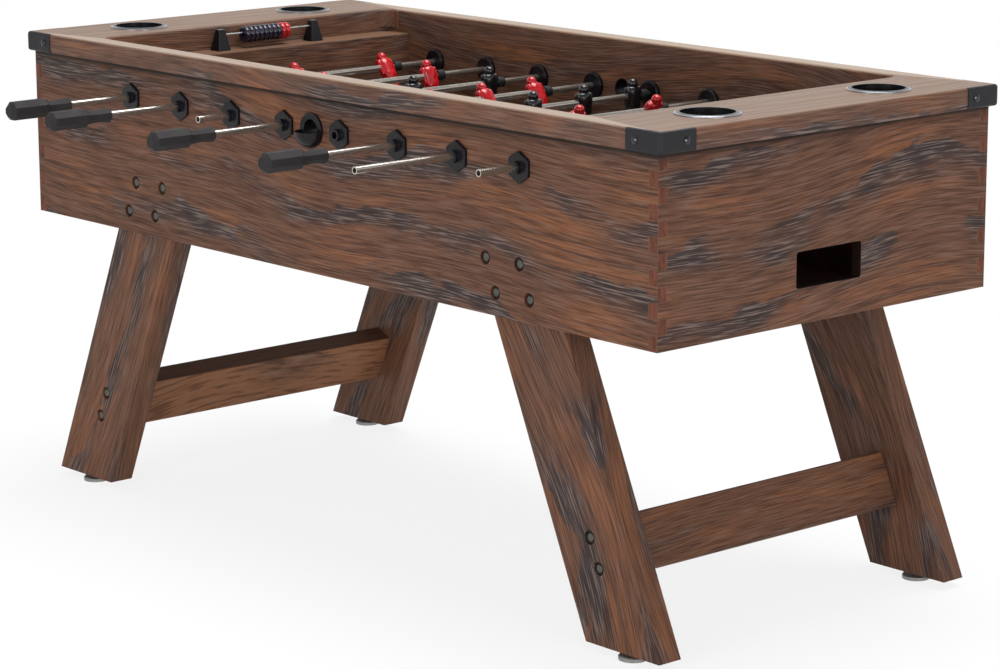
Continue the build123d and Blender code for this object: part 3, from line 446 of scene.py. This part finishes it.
# upper-face colours: painted light from above on rails and shelf, painted shade on the stretcher tops
WIDE_TOP_LIGHT = (0.72, 0.16, paint(108, 82, 60))
NARROW_TOP_LIGHT = (0.80, 0.20, paint(146, 126, 106))
SHELF_TOP_LIGHT = (0.60, 0.10, paint(104, 80, 62))
SHADED_TOP = (0.70, 0.0, paint(54, 34, 25))
RAIL_UNDERSIDE = rail_low.z
SIDE_BOARD = ((1, 0, 0), (0.35, 0.1, 0.12))
openings = {row["name"]: row["box_m"] for row in frame["record"]["physics"]["openings"]}
front_back = brushed_wood("side_panel_wood", *SIDE_BOARD, inner=0.4, overhang=RAIL_UNDERSIDE, **MATTE)
side_rail = brushed_wood("side_rail_wood", *SIDE_BOARD, inner=0.4, top=NARROW_TOP_LIGHT, **RUBBED)
ends = brushed_wood(
    "end_panel_wood",
    (0, 1, 0),
    (2.7, 0.4, 1.3),
    overhang=RAIL_UNDERSIDE,
    opening=openings["ball_return_right"],
    **MATTE,
)
end_rail = brushed_wood("end_rail_wood", (0, 1, 0), (7.3, 0.6, 2.2), 0.06, 0.30, top=WIDE_TOP_LIGHT, **RUBBED)
right_leg = brushed_wood("right_leg_wood", (-leg_lean, 0, 1), (9.2, 1.1, 0.3), 0.08, 0.50, **MATTE)
left_leg = brushed_wood(
    "left_leg_wood", (leg_lean, 0, 1), (12.4, 1.6, 0.9), 0.08, 0.50, lightening=0.12, **MATTE
)
# the left stretcher board is painted lighter as painted light falling on it under the cabinet
stretcher = brushed_wood(
    "stretcher_wood", (0, 1, 0), (15.5, 2.1, 1.4), 0.06, 0.25, 0.45, (0.85, 0.12), top=SHADED_TOP, **MATTE
)
goal_wall = brushed_wood(
    "goal_wall_wood", (0, 1, 0), (18.8, 0.9, 0.4), 0.07, 0.25, 0.5, top=SHELF_TOP_LIGHT, **MATTE
)
dress(front_back, "side_panel_front", "side_panel_back")
dress(ends, "end_panel_left", "end_panel_right")
dress(side_rail, "top_side_rails")
dress(end_rail, "top_end_rails")
dress(right_leg, "leg_front_right", "leg_back_right")
dress(left_leg, "leg_front_left", "leg_back_left")
dress(stretcher, "stretchers")
dress(goal_wall, "goal_walls")
print("wooden nodes dressed")

# %% [markdown]
# ## Fine speckle
# Moulded plastic, powder coat and cast paint are never one flat colour: a fine pebble breaks the
# highlight, and handling leaves slow changes of gloss. This group gives both, for all of those finishes.

# %% Node group: fine speckle
def fine_speckle_group():
    group, given, made = new_group(
        "Fine speckle",
        {
            "Colour": ("Color", (0.5, 0.5, 0.5, 1)),
            "Cycles": ("Float", 900.0),
            "Gloss": ("Float", 0.4),
            "Change": ("Float", 0.3),
        },
        {"Colour": "Color", "Height": "Float", "Roughness": "Float"},
    )
    place_on = put(group, "TexCoord").outputs["Object"]
    scaled = put(group, "VectorMath", {0: place_on, "Scale": given["Cycles"]}, operation="SCALE").outputs[0]
    pebble = put(group, "TexNoise", {"Vector": scaled, "Scale": 1.0, "Detail": 2.0}).outputs[0]
    handling = noise(group, place_on, (28.0, 28.0, 28.0), 4.0, 0.6)
    half = sum_up(group, "MULTIPLY", pebble, 0.5)
    shade = sum_up(group, "MULTIPLY_ADD", handling, 0.5, half)
    low = sum_up(group, "SUBTRACT", 1.0, given["Change"])
    high = sum_up(group, "ADD", 1.0, given["Change"])
    factor = fade(group, shade, 0.3, 0.7, low, high)
    tint = put(group, "CombineColor", {0: factor, 1: factor, 2: factor}).outputs[0]
    feed(group, made["Colour"], blend(group, 1.0, given["Colour"], tint, "MULTIPLY"))
    feed(group, made["Height"], pebble)
    dull = sum_up(group, "MULTIPLY_ADD", fade(group, handling, 0.35, 0.65), 0.16, given["Gloss"])
    feed(group, made["Roughness"], dull)
    return group


FINE_SPECKLE = fine_speckle_group()
print("group:", FINE_SPECKLE.name)

# %% Finish: moulded or coated surfaces
def coated(name, colour, gloss, cycles, relief, change=0.25, edge_colour=None, **shader):
    """A plastic, rubber or powder-coated surface, its edges worn to edge_colour."""
    material, tree, principled = new_material(name, **shader)
    speckle = place(tree, FINE_SPECKLE, Colour=colour, Cycles=cycles, Gloss=gloss, Change=change)
    edge = place(tree, WORN_EDGE, Radius=0.0009)
    worn = sum_up(tree, "MULTIPLY", edge["Mask"], 0.45)
    finish = blend(tree, worn, speckle["Colour"], edge_colour or colour)
    tree.links.new(finish, principled.inputs["Base Color"])
    tree.links.new(speckle["Roughness"], principled.inputs["Roughness"])
    bump(tree, principled, speckle["Height"], relief, 1.0, edge["Normal"])
    return material


# %% [markdown]
# ## Dark metal and black plastic
# The corner brackets are bent plate with a black powder coat, and their screws are black oxide with
# more shine. The bolts in the counterbores are a lighter gunmetal. The bearings, score posts and serve
# cups are black nylon, the grips a matte charcoal moulding, and the bumpers soft rubber.

# %% Dress the hardware
SATIN = {"Specular_IOR_Level": 0.25}
powder_coat = coated(
    "bracket_powder_coat", paint(27, 27, 30), 0.40, 1400.0, 0.00008, 0.2, paint(80, 80, 82), **SATIN
)
black_oxide = coated(
    "screw_black_oxide", paint(66, 66, 72), 0.05, 600.0, 0.000005, 0.2, paint(80, 80, 86), Metallic=1.0
)
gunmetal = coated(
    "bolt_gunmetal", paint(84, 84, 79), 0.30, 700.0, 0.00003, 0.3, paint(130, 130, 126), Metallic=0.7,
    **SATIN,
)
nylon = coated("black_nylon", paint(14, 12, 17), 0.22, 1100.0, 0.00004, 0.2, paint(46, 44, 52), **SATIN)
charcoal_grip = coated(
    "charcoal_grip", paint(43, 40, 41), 0.52, 1300.0, 0.0001, 0.22, paint(68, 65, 64),
    Specular_IOR_Level=0.14,
)
rubber = coated("bumper_rubber", paint(28, 28, 29), 0.55, 1000.0, 0.0001, 0.25, paint(54, 54, 56), **SATIN)
zinc = coated(
    "leveler_zinc", paint(138, 137, 134), 0.34, 500.0, 0.00003, 0.15, paint(186, 186, 184), Metallic=0.85
)
dress(powder_coat, "corner_brackets")
dress(black_oxide, "bracket_screws")
dress(gunmetal, "leg_bolts")
dress(nylon, "rod_bearings", "score_posts", "serve_cups")
dress(zinc, *[name for name in nodes if name.startswith("leveler_")])
dress(charcoal_grip, *[f"grip_{k}" for k in range(1, ROD_COUNT + 1)])
dress(rubber, *[f"bumpers_{k}" for k in range(1, ROD_COUNT + 1)])
print("hardware dressed")

# %% [markdown]
# ## Chrome
# The rods are chromed steel tube. Polished chrome has no colour of its own, so what makes it look real
# is small: long, faint polishing lines and slight smears that change how sharp the reflections are.
# The score wire is plain drawn steel, with the same lines and a little more smear.

# %% Finish: drawn and polished steel
def polished_rod(name, colour, sharp, smear):
    material, tree, principled = new_material(name, Metallic=0.92, Specular_IOR_Level=0.4)
    place_on = put(tree, "TexCoord").outputs["Object"]
    lines = noise(tree, place_on, (900.0, 6.0, 900.0), 2.0)
    smears = noise(tree, place_on, (30.0, 14.0, 30.0), 4.0, 0.6)
    shade = blend(tree, fade(tree, smears, 0.35, 0.7), colour, [c * 0.86 for c in colour[:3]] + [1.0])
    tree.links.new(shade, principled.inputs["Base Color"])
    dull = sum_up(tree, "MULTIPLY_ADD", fade(tree, smears, 0.4, 0.7), smear, sharp)
    tree.links.new(dull, principled.inputs["Roughness"])
    bump(tree, principled, lines, 0.000004, 0.12)
    return material


chrome = polished_rod("chrome_tube", paint(190, 184, 175), 0.18, 0.10)
dress(chrome, *[f"rod_{k}" for k in range(1, ROD_COUNT + 1)])
dress(polished_rod("drawn_wire", paint(190, 190, 188), 0.20, 0.12), "score_wire")
print("rods and wire dressed")

# %% [markdown]
# ## Cup holders
# Each cup holder is a black moulded cup whose flange has a bright metal trim around its bevelled edge.
# Two materials on one mesh would need its faces marked. The distance from the nearest cup's axis tells
# them apart instead: the outermost few millimetres are trim, the rest is black.

# %% Finish: cup holder
def cup_finish():
    material, tree, principled = new_material("cup_trim_and_liner", Specular_IOR_Level=0.3)
    low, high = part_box("cup_holders")
    flange_radius, trim_radius = 0.054, 0.0500
    centre_x, centre_y = high.x - flange_radius, (high.y - low.y) / 2 - flange_radius
    place_on = put(tree, "TexCoord").outputs["Object"]
    x, y, z = split(tree, place_on)
    off_x = sum_up(tree, "SUBTRACT", sum_up(tree, "ABSOLUTE", x), centre_x)
    off_y = sum_up(tree, "ABSOLUTE", sum_up(tree, "SUBTRACT", y, MIDDLE_Y))
    off_y = sum_up(tree, "SUBTRACT", off_y, centre_y)
    from_axis = {0: join(tree, off_x, off_y, 0.0)}
    radius = put(tree, "VectorMath", from_axis, operation="LENGTH").outputs["Value"]
    angle = sum_up(tree, "ARCTAN2", off_y, off_x)
    spun = noise(tree, join(tree, radius, angle, z), (2600.0, 0.8, 900.0), 2.0)
    trim = fade(tree, radius, trim_radius - 0.0004, trim_radius + 0.0004)
    metal = blend(tree, fade(tree, spun, 0.3, 0.7), paint(124, 126, 132), paint(162, 164, 170))
    liner = blend(tree, fade(tree, spun, 0.3, 0.7), paint(14, 14, 16), paint(24, 24, 26))
    tree.links.new(blend(tree, trim, liner, metal), principled.inputs["Base Color"])
    tree.links.new(trim, principled.inputs["Metallic"])
    tree.links.new(fade(tree, spun, 0.3, 0.7, 0.22, 0.34), principled.inputs["Roughness"])
    bump(tree, principled, spun, 0.00004)
    return material


dress(cup_finish(), "cup_holders")
print("cup holders dressed")

# %% [markdown]
# ## Playfield
# The field is a printed laminate sheet: faint bands of charcoal brown, and pale lines for the middle, the
# circle and the two penalty areas. The lines could be thin meshes, but print has no thickness. Each line
# is where a distance, from a line, a circle or a rectangle, is close to zero.

# %% Finish: playfield
def playfield_finish():
    material, tree, principled = new_material("playfield_print", Coat_Weight=0.25, Coat_Roughness=0.2)
    low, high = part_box("playfield")
    half_line = 0.003
    box_depth, box_half_width, circle_radius = 0.20, 0.19, 0.115
    goal_x = high.x - 0.015
    place_on = put(tree, "TexCoord").outputs["Object"]
    x, y, z = split(tree, place_on)
    y = sum_up(tree, "SUBTRACT", y, MIDDLE_Y)
    far_x, far_y = sum_up(tree, "ABSOLUTE", x), sum_up(tree, "ABSOLUTE", y)
    from_middle = put(tree, "VectorMath", {0: join(tree, x, y, 0.0)}, operation="LENGTH").outputs["Value"]

    def printed(distance):
        return fade(tree, sum_up(tree, "ABSOLUTE", distance), half_line + 0.0006, half_line - 0.0006)

    past_box_x = sum_up(tree, "SUBTRACT", goal_x - box_depth, far_x)
    past_box_y = sum_up(tree, "SUBTRACT", far_y, box_half_width)
    off_arc_x = sum_up(tree, "SUBTRACT", far_x, goal_x - box_depth)
    from_box = {0: join(tree, off_arc_x, y, 0.0)}
    off_arc = put(tree, "VectorMath", from_box, operation="LENGTH").outputs["Value"]
    arc = printed(sum_up(tree, "SUBTRACT", off_arc, circle_radius * 0.7))
    outside_box = fade(tree, off_arc_x, 0.0, -0.001)
    lines = [
        printed(x),
        printed(sum_up(tree, "SUBTRACT", from_middle, circle_radius)),
        fade(tree, from_middle, 0.0095, 0.0085),
        printed(sum_up(tree, "MAXIMUM", past_box_x, past_box_y)),
        sum_up(tree, "MULTIPLY", arc, outside_box),
    ]
    line = lines[0]
    for other in lines[1:]:
        line = sum_up(tree, "MAXIMUM", line, other)
    bands = fade(tree, sum_up(tree, "SINE", sum_up(tree, "MULTIPLY", x, math.tau / 0.3048)), -0.08, 0.08)
    print_grain = noise(tree, place_on, (700.0, 700.0, 700.0), 2.0)
    wear = noise(tree, place_on, (9.0, 14.0, 9.0), 4.0, 0.6)
    ground = blend(tree, bands, paint(50, 44, 41), paint(60, 53, 49))
    ground = blend(tree, fade(tree, print_grain, 0.35, 0.65, 0.0, 0.35), ground, paint(78, 70, 64))
    ink = sum_up(tree, "MULTIPLY", line, fade(tree, wear, 0.3, 0.6, 0.82, 0.96))
    tree.links.new(blend(tree, ink, ground, paint(206, 202, 192)), principled.inputs["Base Color"])
    tree.links.new(fade(tree, wear, 0.3, 0.7, 0.34, 0.50), principled.inputs["Roughness"])
    bump(tree, principled, print_grain, 0.00003)
    return material


dress(playfield_finish(), "playfield")
print("playfield dressed")

# %% [markdown]
# ## Ball trays
# Behind the return openings sits a plain box of thin board, stained dark red-brown and scuffed by the
# balls. It is seen only through the opening, so its colour is kept deep.

# %% Finish: tray board
def tray_finish():
    material, tree, principled = new_material("stained_tray", Specular_IOR_Level=0.35)
    place_on = put(tree, "TexCoord").outputs["Object"]
    stain = noise(tree, place_on, (18.0, 60.0, 60.0), 4.0, 0.6)
    scuffs = fade(tree, noise(tree, place_on, (55.0, 16.0, 55.0), 3.0, 0.7), 0.60, 0.74)
    shade = blend(tree, fade(tree, stain, 0.35, 0.65), paint(34, 15, 12), paint(52, 23, 18))
    shade = blend(tree, sum_up(tree, "MULTIPLY", scuffs, 0.35), shade, paint(74, 42, 34))
    tree.links.new(shade, principled.inputs["Base Color"])
    tree.links.new(fade(tree, stain, 0.3, 0.7, 0.45, 0.62), principled.inputs["Roughness"])
    bump(tree, principled, stain, 0.0003)
    return material


dress(tray_finish(), "ball_trays")
print("ball trays dressed")

# %% [markdown]
# ## Men
# The men are glossy one-piece mouldings: a round head, sloping shoulders, arms pressed to the shirt,
# legs held together and a foot that strikes both ways. The CAD men are cut from two flat outlines, which
# leaves them angular. Here each man is a stack of rounded sections joined into a skin and subdivided,
# which is how a soft moulded form is easiest to control. One mesh is copied along each rod.

# %% Model one man
SECTION_POINTS = 16
# height above the rod's axis, half width, half depth and squareness of each section, in metres
MAN_SECTIONS = [
    (-0.0716, 0.0085, 0.0050, 2.4),
    (-0.0700, 0.0118, 0.0080, 3.0),
    (-0.0655, 0.0122, 0.0116, 3.2),
    (-0.0615, 0.0118, 0.0112, 3.0),
    (-0.0570, 0.0100, 0.0082, 2.6),
    (-0.0500, 0.0096, 0.0074, 2.6),
    (-0.0360, 0.0112, 0.0088, 2.6),
    (-0.0260, 0.0126, 0.0104, 2.8),
    (-0.0215, 0.0140, 0.0122, 3.0),
    (-0.0150, 0.0144, 0.0130, 3.0),
    (-0.0110, 0.0140, 0.0126, 2.8),
    (-0.0010, 0.0146, 0.0134, 2.6),
    (0.0080, 0.0150, 0.0132, 2.6),
    (0.0140, 0.0146, 0.0118, 2.4),
    (0.0178, 0.0120, 0.0092, 2.2),
    (0.0192, 0.0070, 0.0066, 2.0),
    (0.0200, 0.0050, 0.0050, 2.0),
]
ARM_SECTIONS = [
    (-0.0172, 0.0030, 0.0040, 2.2),
    (-0.0150, 0.0040, 0.0060, 2.4),
    (-0.0080, 0.0042, 0.0068, 2.4),
    (0.0020, 0.0046, 0.0078, 2.4),
    (0.0110, 0.0046, 0.0080, 2.4),
    (0.0158, 0.0040, 0.0066, 2.2),
    (0.0176, 0.0024, 0.0038, 2.0),
]
ARM_OUT = 0.0134
HEAD_CENTRE, HEAD_RADIUS = 0.0226, 0.0103


def stack_sections(mesh, sections, side=0.0):
    """Skin a stack of rounded sections, closed at both ends."""
    rings = []
    for height, half_width, half_depth, square in sections:
        ring = []
        for n in range(SECTION_POINTS):
            angle = math.tau * n / SECTION_POINTS
            c, s = math.cos(angle), math.sin(angle)
            x = math.copysign(abs(c) ** (2 / square), c) * half_depth
            y = math.copysign(abs(s) ** (2 / square), s) * half_width + side
            ring.append(mesh.verts.new((x, y, height)))
        rings.append(ring)
    for lower, upper in zip(rings, rings[1:]):
        for n in range(SECTION_POINTS):
            m = (n + 1) % SECTION_POINTS
            mesh.faces.new((lower[n], lower[m], upper[m], upper[n]))
    mesh.faces.new(reversed(rings[0]))
    mesh.faces.new(rings[-1])


def one_man():
    mesh = bmesh.new()
    stack_sections(mesh, MAN_SECTIONS)
    for side in (-ARM_OUT, ARM_OUT):
        stack_sections(mesh, ARM_SECTIONS, side)
    steps = 10
    head = []
    for n in range(1, steps):
        lean = math.pi * n / steps
        radius = HEAD_RADIUS * math.sin(lean)
        head.append((HEAD_CENTRE - HEAD_RADIUS * math.cos(lean), radius * 0.94, radius, 2.0))
    stack_sections(mesh, head)
    bmesh.ops.recalc_face_normals(mesh, faces=mesh.faces)
    return mesh


# %% Finish: glossy men and beads
def glossy(name, colour, coat=0.45, second=None, border=None):
    """A glossy moulding with flow marks; where border gives (axis, value), second takes over above it."""
    shine = {"Specular_IOR_Level": 0.3, "Coat_Weight": coat, "Coat_Roughness": 0.06}
    material, tree, principled = new_material(name, **shine)
    place_on = put(tree, "TexCoord").outputs["Object"]
    flow = noise(tree, place_on, (60.0, 60.0, 140.0), 3.0, 0.6)
    fine = noise(tree, place_on, (900.0, 900.0, 900.0), 1.0)

    def shaded(base):
        return blend(tree, fade(tree, flow, 0.3, 0.7), [c * 0.78 for c in base[:3]] + [1.0], base)

    finish = shaded(colour)
    if second:
        beyond = fade(tree, split(tree, place_on)[border[0]], border[1] - 0.0002, border[1] + 0.0002)
        finish = blend(tree, beyond, finish, shaded(second))
    tree.links.new(finish, principled.inputs["Base Color"])
    tree.links.new(fade(tree, flow, 0.3, 0.7, 0.20, 0.34), principled.inputs["Roughness"])
    bump(tree, principled, fine, 0.00003)
    return material


RED, BLACK = paint(176, 8, 20), paint(16, 16, 20)
red_moulding, black_moulding = glossy("red_men", RED), glossy("black_men", BLACK)

# %% Set the men on their rods
MAN_WIDTH = 0.036
# how far each rod is turned at rest, in degrees; positive leans the heads toward +X
ROD_TURNS = (-36.0, -22.0, 0.0, -35.0, 0.0, 30.0, 0.0, 0.0)
man = one_man()
for k in range(1, ROD_COUNT + 1):
    low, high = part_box(f"men_{k}")
    rod_low, rod_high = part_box(f"rod_{k}")
    axis_x, axis_z = (rod_low.x + rod_high.x) / 2, (rod_low.z + rod_high.z) / 2
    first, last, count = low.y + MAN_WIDTH / 2, high.y - MAN_WIDTH / 2, MEN_ON_ROD[k - 1]
    lean = Matrix.Rotation(math.radians(ROD_TURNS[k - 1]), 3, "Y")
    team = bmesh.new()
    for n in range(count):
        one = man.copy()
        bmesh.ops.rotate(one, verts=one.verts, cent=(0, 0, 0), matrix=lean)
        at = Vector((axis_x, first + (last - first) * n / (count - 1), axis_z))
        bmesh.ops.translate(one, verts=one.verts, vec=at)
        scratch = bpy.data.meshes.new("scratch")
        one.to_mesh(scratch)
        team.from_mesh(scratch)
        bpy.data.meshes.remove(scratch)
        one.free()
    skin = bpy.data.meshes.new(f"moulded_men_{k}")
    team.to_mesh(skin)
    team.free()
    skin.shade_smooth()
    skin.materials.append(red_moulding if k in RED_RODS else black_moulding)
    men = bpy.data.objects.new(f"moulded_men_{k}", skin)
    bpy.context.scene.collection.objects.link(men)
    smooth = men.modifiers.new("smooth", "SUBSURF")
    smooth.levels = smooth.render_levels = 2
    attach(men, f"rod_assembly_{k}")
    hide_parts(f"men_{k}")
man.free()
print("men modelled on", ROD_COUNT, "rods")

# %% [markdown]
# ## Score beads
# The scorer has ten ribbed beads on its wire, eight dark navy and then two red at the back. The stack is
# one node, so the finish changes colour where the last dark bead ends.

# %% Dress the beads
BEADS, RED_BEADS = 10, 2
NAVY = paint(22, 20, 42)
low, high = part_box("score_beads")
red_starts = high.y - (high.y - low.y) * RED_BEADS / BEADS
dress(glossy("score_bead_finish", NAVY, 0.7, RED, (1, red_starts)), "score_beads")
print("beads dressed")

# %% [markdown]
# ## Studio
# The table stands on a plain white floor under soft light. One lamp is in front of the long side, one off
# the right end and one overhead, and a pale world fills the rest. For camera rays the world is plain white,
# and mirror rays see that white too, with a greyer ceiling overhead. The floor lets most of the camera's
# rays through to that white, all of them far from the table, so it reads as paper and still holds a soft
# shadow.

# %% Floor, world and lamps
floor_mesh = bpy.data.meshes.new("studio_floor")
FLOOR_HALF = 30.0
corners = [(x * FLOOR_HALF, y * FLOOR_HALF, 0) for x, y in ((-1, -1), (1, -1), (1, 1), (-1, 1))]
floor_mesh.from_pydata(corners, [], [(0, 1, 2, 3)])
floor = bpy.data.objects.new("studio_floor", floor_mesh)
bpy.context.scene.collection.objects.link(floor)


def floor_finish():
    material, tree, principled = new_material("studio_paper", Roughness=0.9, Specular_IOR_Level=0.1)
    principled.inputs["Base Color"].default_value = (0.9, 0.9, 0.9, 1.0)
    path = put(tree, "LightPath").outputs
    seen = sum_up(tree, "MAXIMUM", path["Is Camera Ray"], path["Is Glossy Ray"])
    clear = put(tree, "BsdfTransparent").outputs[0]
    from_table = put(tree, "VectorMath", {0: put(tree, "TexCoord").outputs["Object"]}, operation="LENGTH")
    shadow_near, shadow_far, near_clear = 0.9, 2.6, 0.84
    see_through = fade(tree, from_table.outputs["Value"], shadow_near, shadow_far, near_clear, 1.0)
    amount = sum_up(tree, "MULTIPLY", seen, see_through)
    mixed = put(tree, "MixShader", {0: amount, 1: principled.outputs[0], 2: clear}).outputs[0]
    tree.links.new(mixed, tree.nodes["Material Output"].inputs["Surface"])
    return material


floor_mesh.materials.append(floor_finish())

world = bpy.data.worlds.new("studio_world")
world.use_nodes = True
bpy.context.scene.world = world
tree = world.node_tree
path = put(tree, "LightPath").outputs
white = sum_up(tree, "MAXIMUM", path["Is Camera Ray"], path["Is Glossy Ray"])
white = sum_up(tree, "MAXIMUM", white, path["Is Transmission Ray"])
AMBIENT, CEILING = 0.38, 0.30
height = split(tree, put(tree, "TexCoord").outputs["Generated"])[2]
mirrored = sum_up(tree, "SUBTRACT", 1.0, path["Is Camera Ray"])
overhead = sum_up(tree, "MULTIPLY", fade(tree, height, 0.25, 0.75), mirrored)
backdrop = fade(tree, overhead, 0.0, 1.0, 1.0, CEILING)
ambient = fade(tree, white, 0.0, 1.0, AMBIENT, 0.0)
strength = sum_up(tree, "MULTIPLY_ADD", white, backdrop, ambient)
tree.links.new(strength, tree.nodes["Background"].inputs["Strength"])
tree.nodes["Background"].inputs["Color"].default_value = (1, 1, 1, 1)


def soft_lamp(name, at, aim, size, power):
    lamp = bpy.data.lights.new(name, "AREA")
    lamp.shape, lamp.size, lamp.energy = "DISK", size, power
    holder = bpy.data.objects.new(name, lamp)
    holder.location = at
    holder.rotation_euler = (Vector(aim) - Vector(at)).to_track_quat("-Z", "Y").to_euler()
    bpy.context.scene.collection.objects.link(holder)


table_middle = (0.0, MIDDLE_Y, 0.6)
soft_lamp("key_lamp", (1.2, -4.2, 1.4), table_middle, 2.4, 58.0)
soft_lamp("end_lamp", (8.5, -2.0, 1.2), table_middle, 4.2, 240.0)
soft_lamp("top_lamp", (0.0, 0.6, 4.4), table_middle, 3.0, 230.0)
print("studio set")

# %% [markdown]
# ## Camera
# The photograph was taken from the front right, a little above the rail, with a long lens. The place and
# the aim are in the table's own frame, measured from the cabinet's middle plane, and the lens is for the
# usual 36 mm sensor.

# %% Camera
CAMERA_AT = Vector((4.3223, -3.7562 + MIDDLE_Y, 1.6086))
CAMERA_FORWARD = Vector((-0.73381, 0.64500, -0.21329))
CAMERA_ROLL = math.radians(-0.21)
LENS_IN_PIXELS, IMAGE_WIDTH = 3236.2, 1000
view = bpy.data.cameras.new("photo_camera")
view.sensor_width = 36.0
view.lens = view.sensor_width * LENS_IN_PIXELS / IMAGE_WIDTH
camera = bpy.data.objects.new("photo_camera", view)
camera.location = CAMERA_AT
aimed = CAMERA_FORWARD.to_track_quat("-Z", "Y").to_matrix()
camera.rotation_euler = (aimed @ Euler((0, 0, CAMERA_ROLL)).to_matrix()).to_euler()
bpy.context.scene.collection.objects.link(camera)
bpy.context.scene.camera = camera
bpy.context.scene.view_settings.view_transform = "Standard"
print("camera lens:", round(view.lens, 1), "mm")
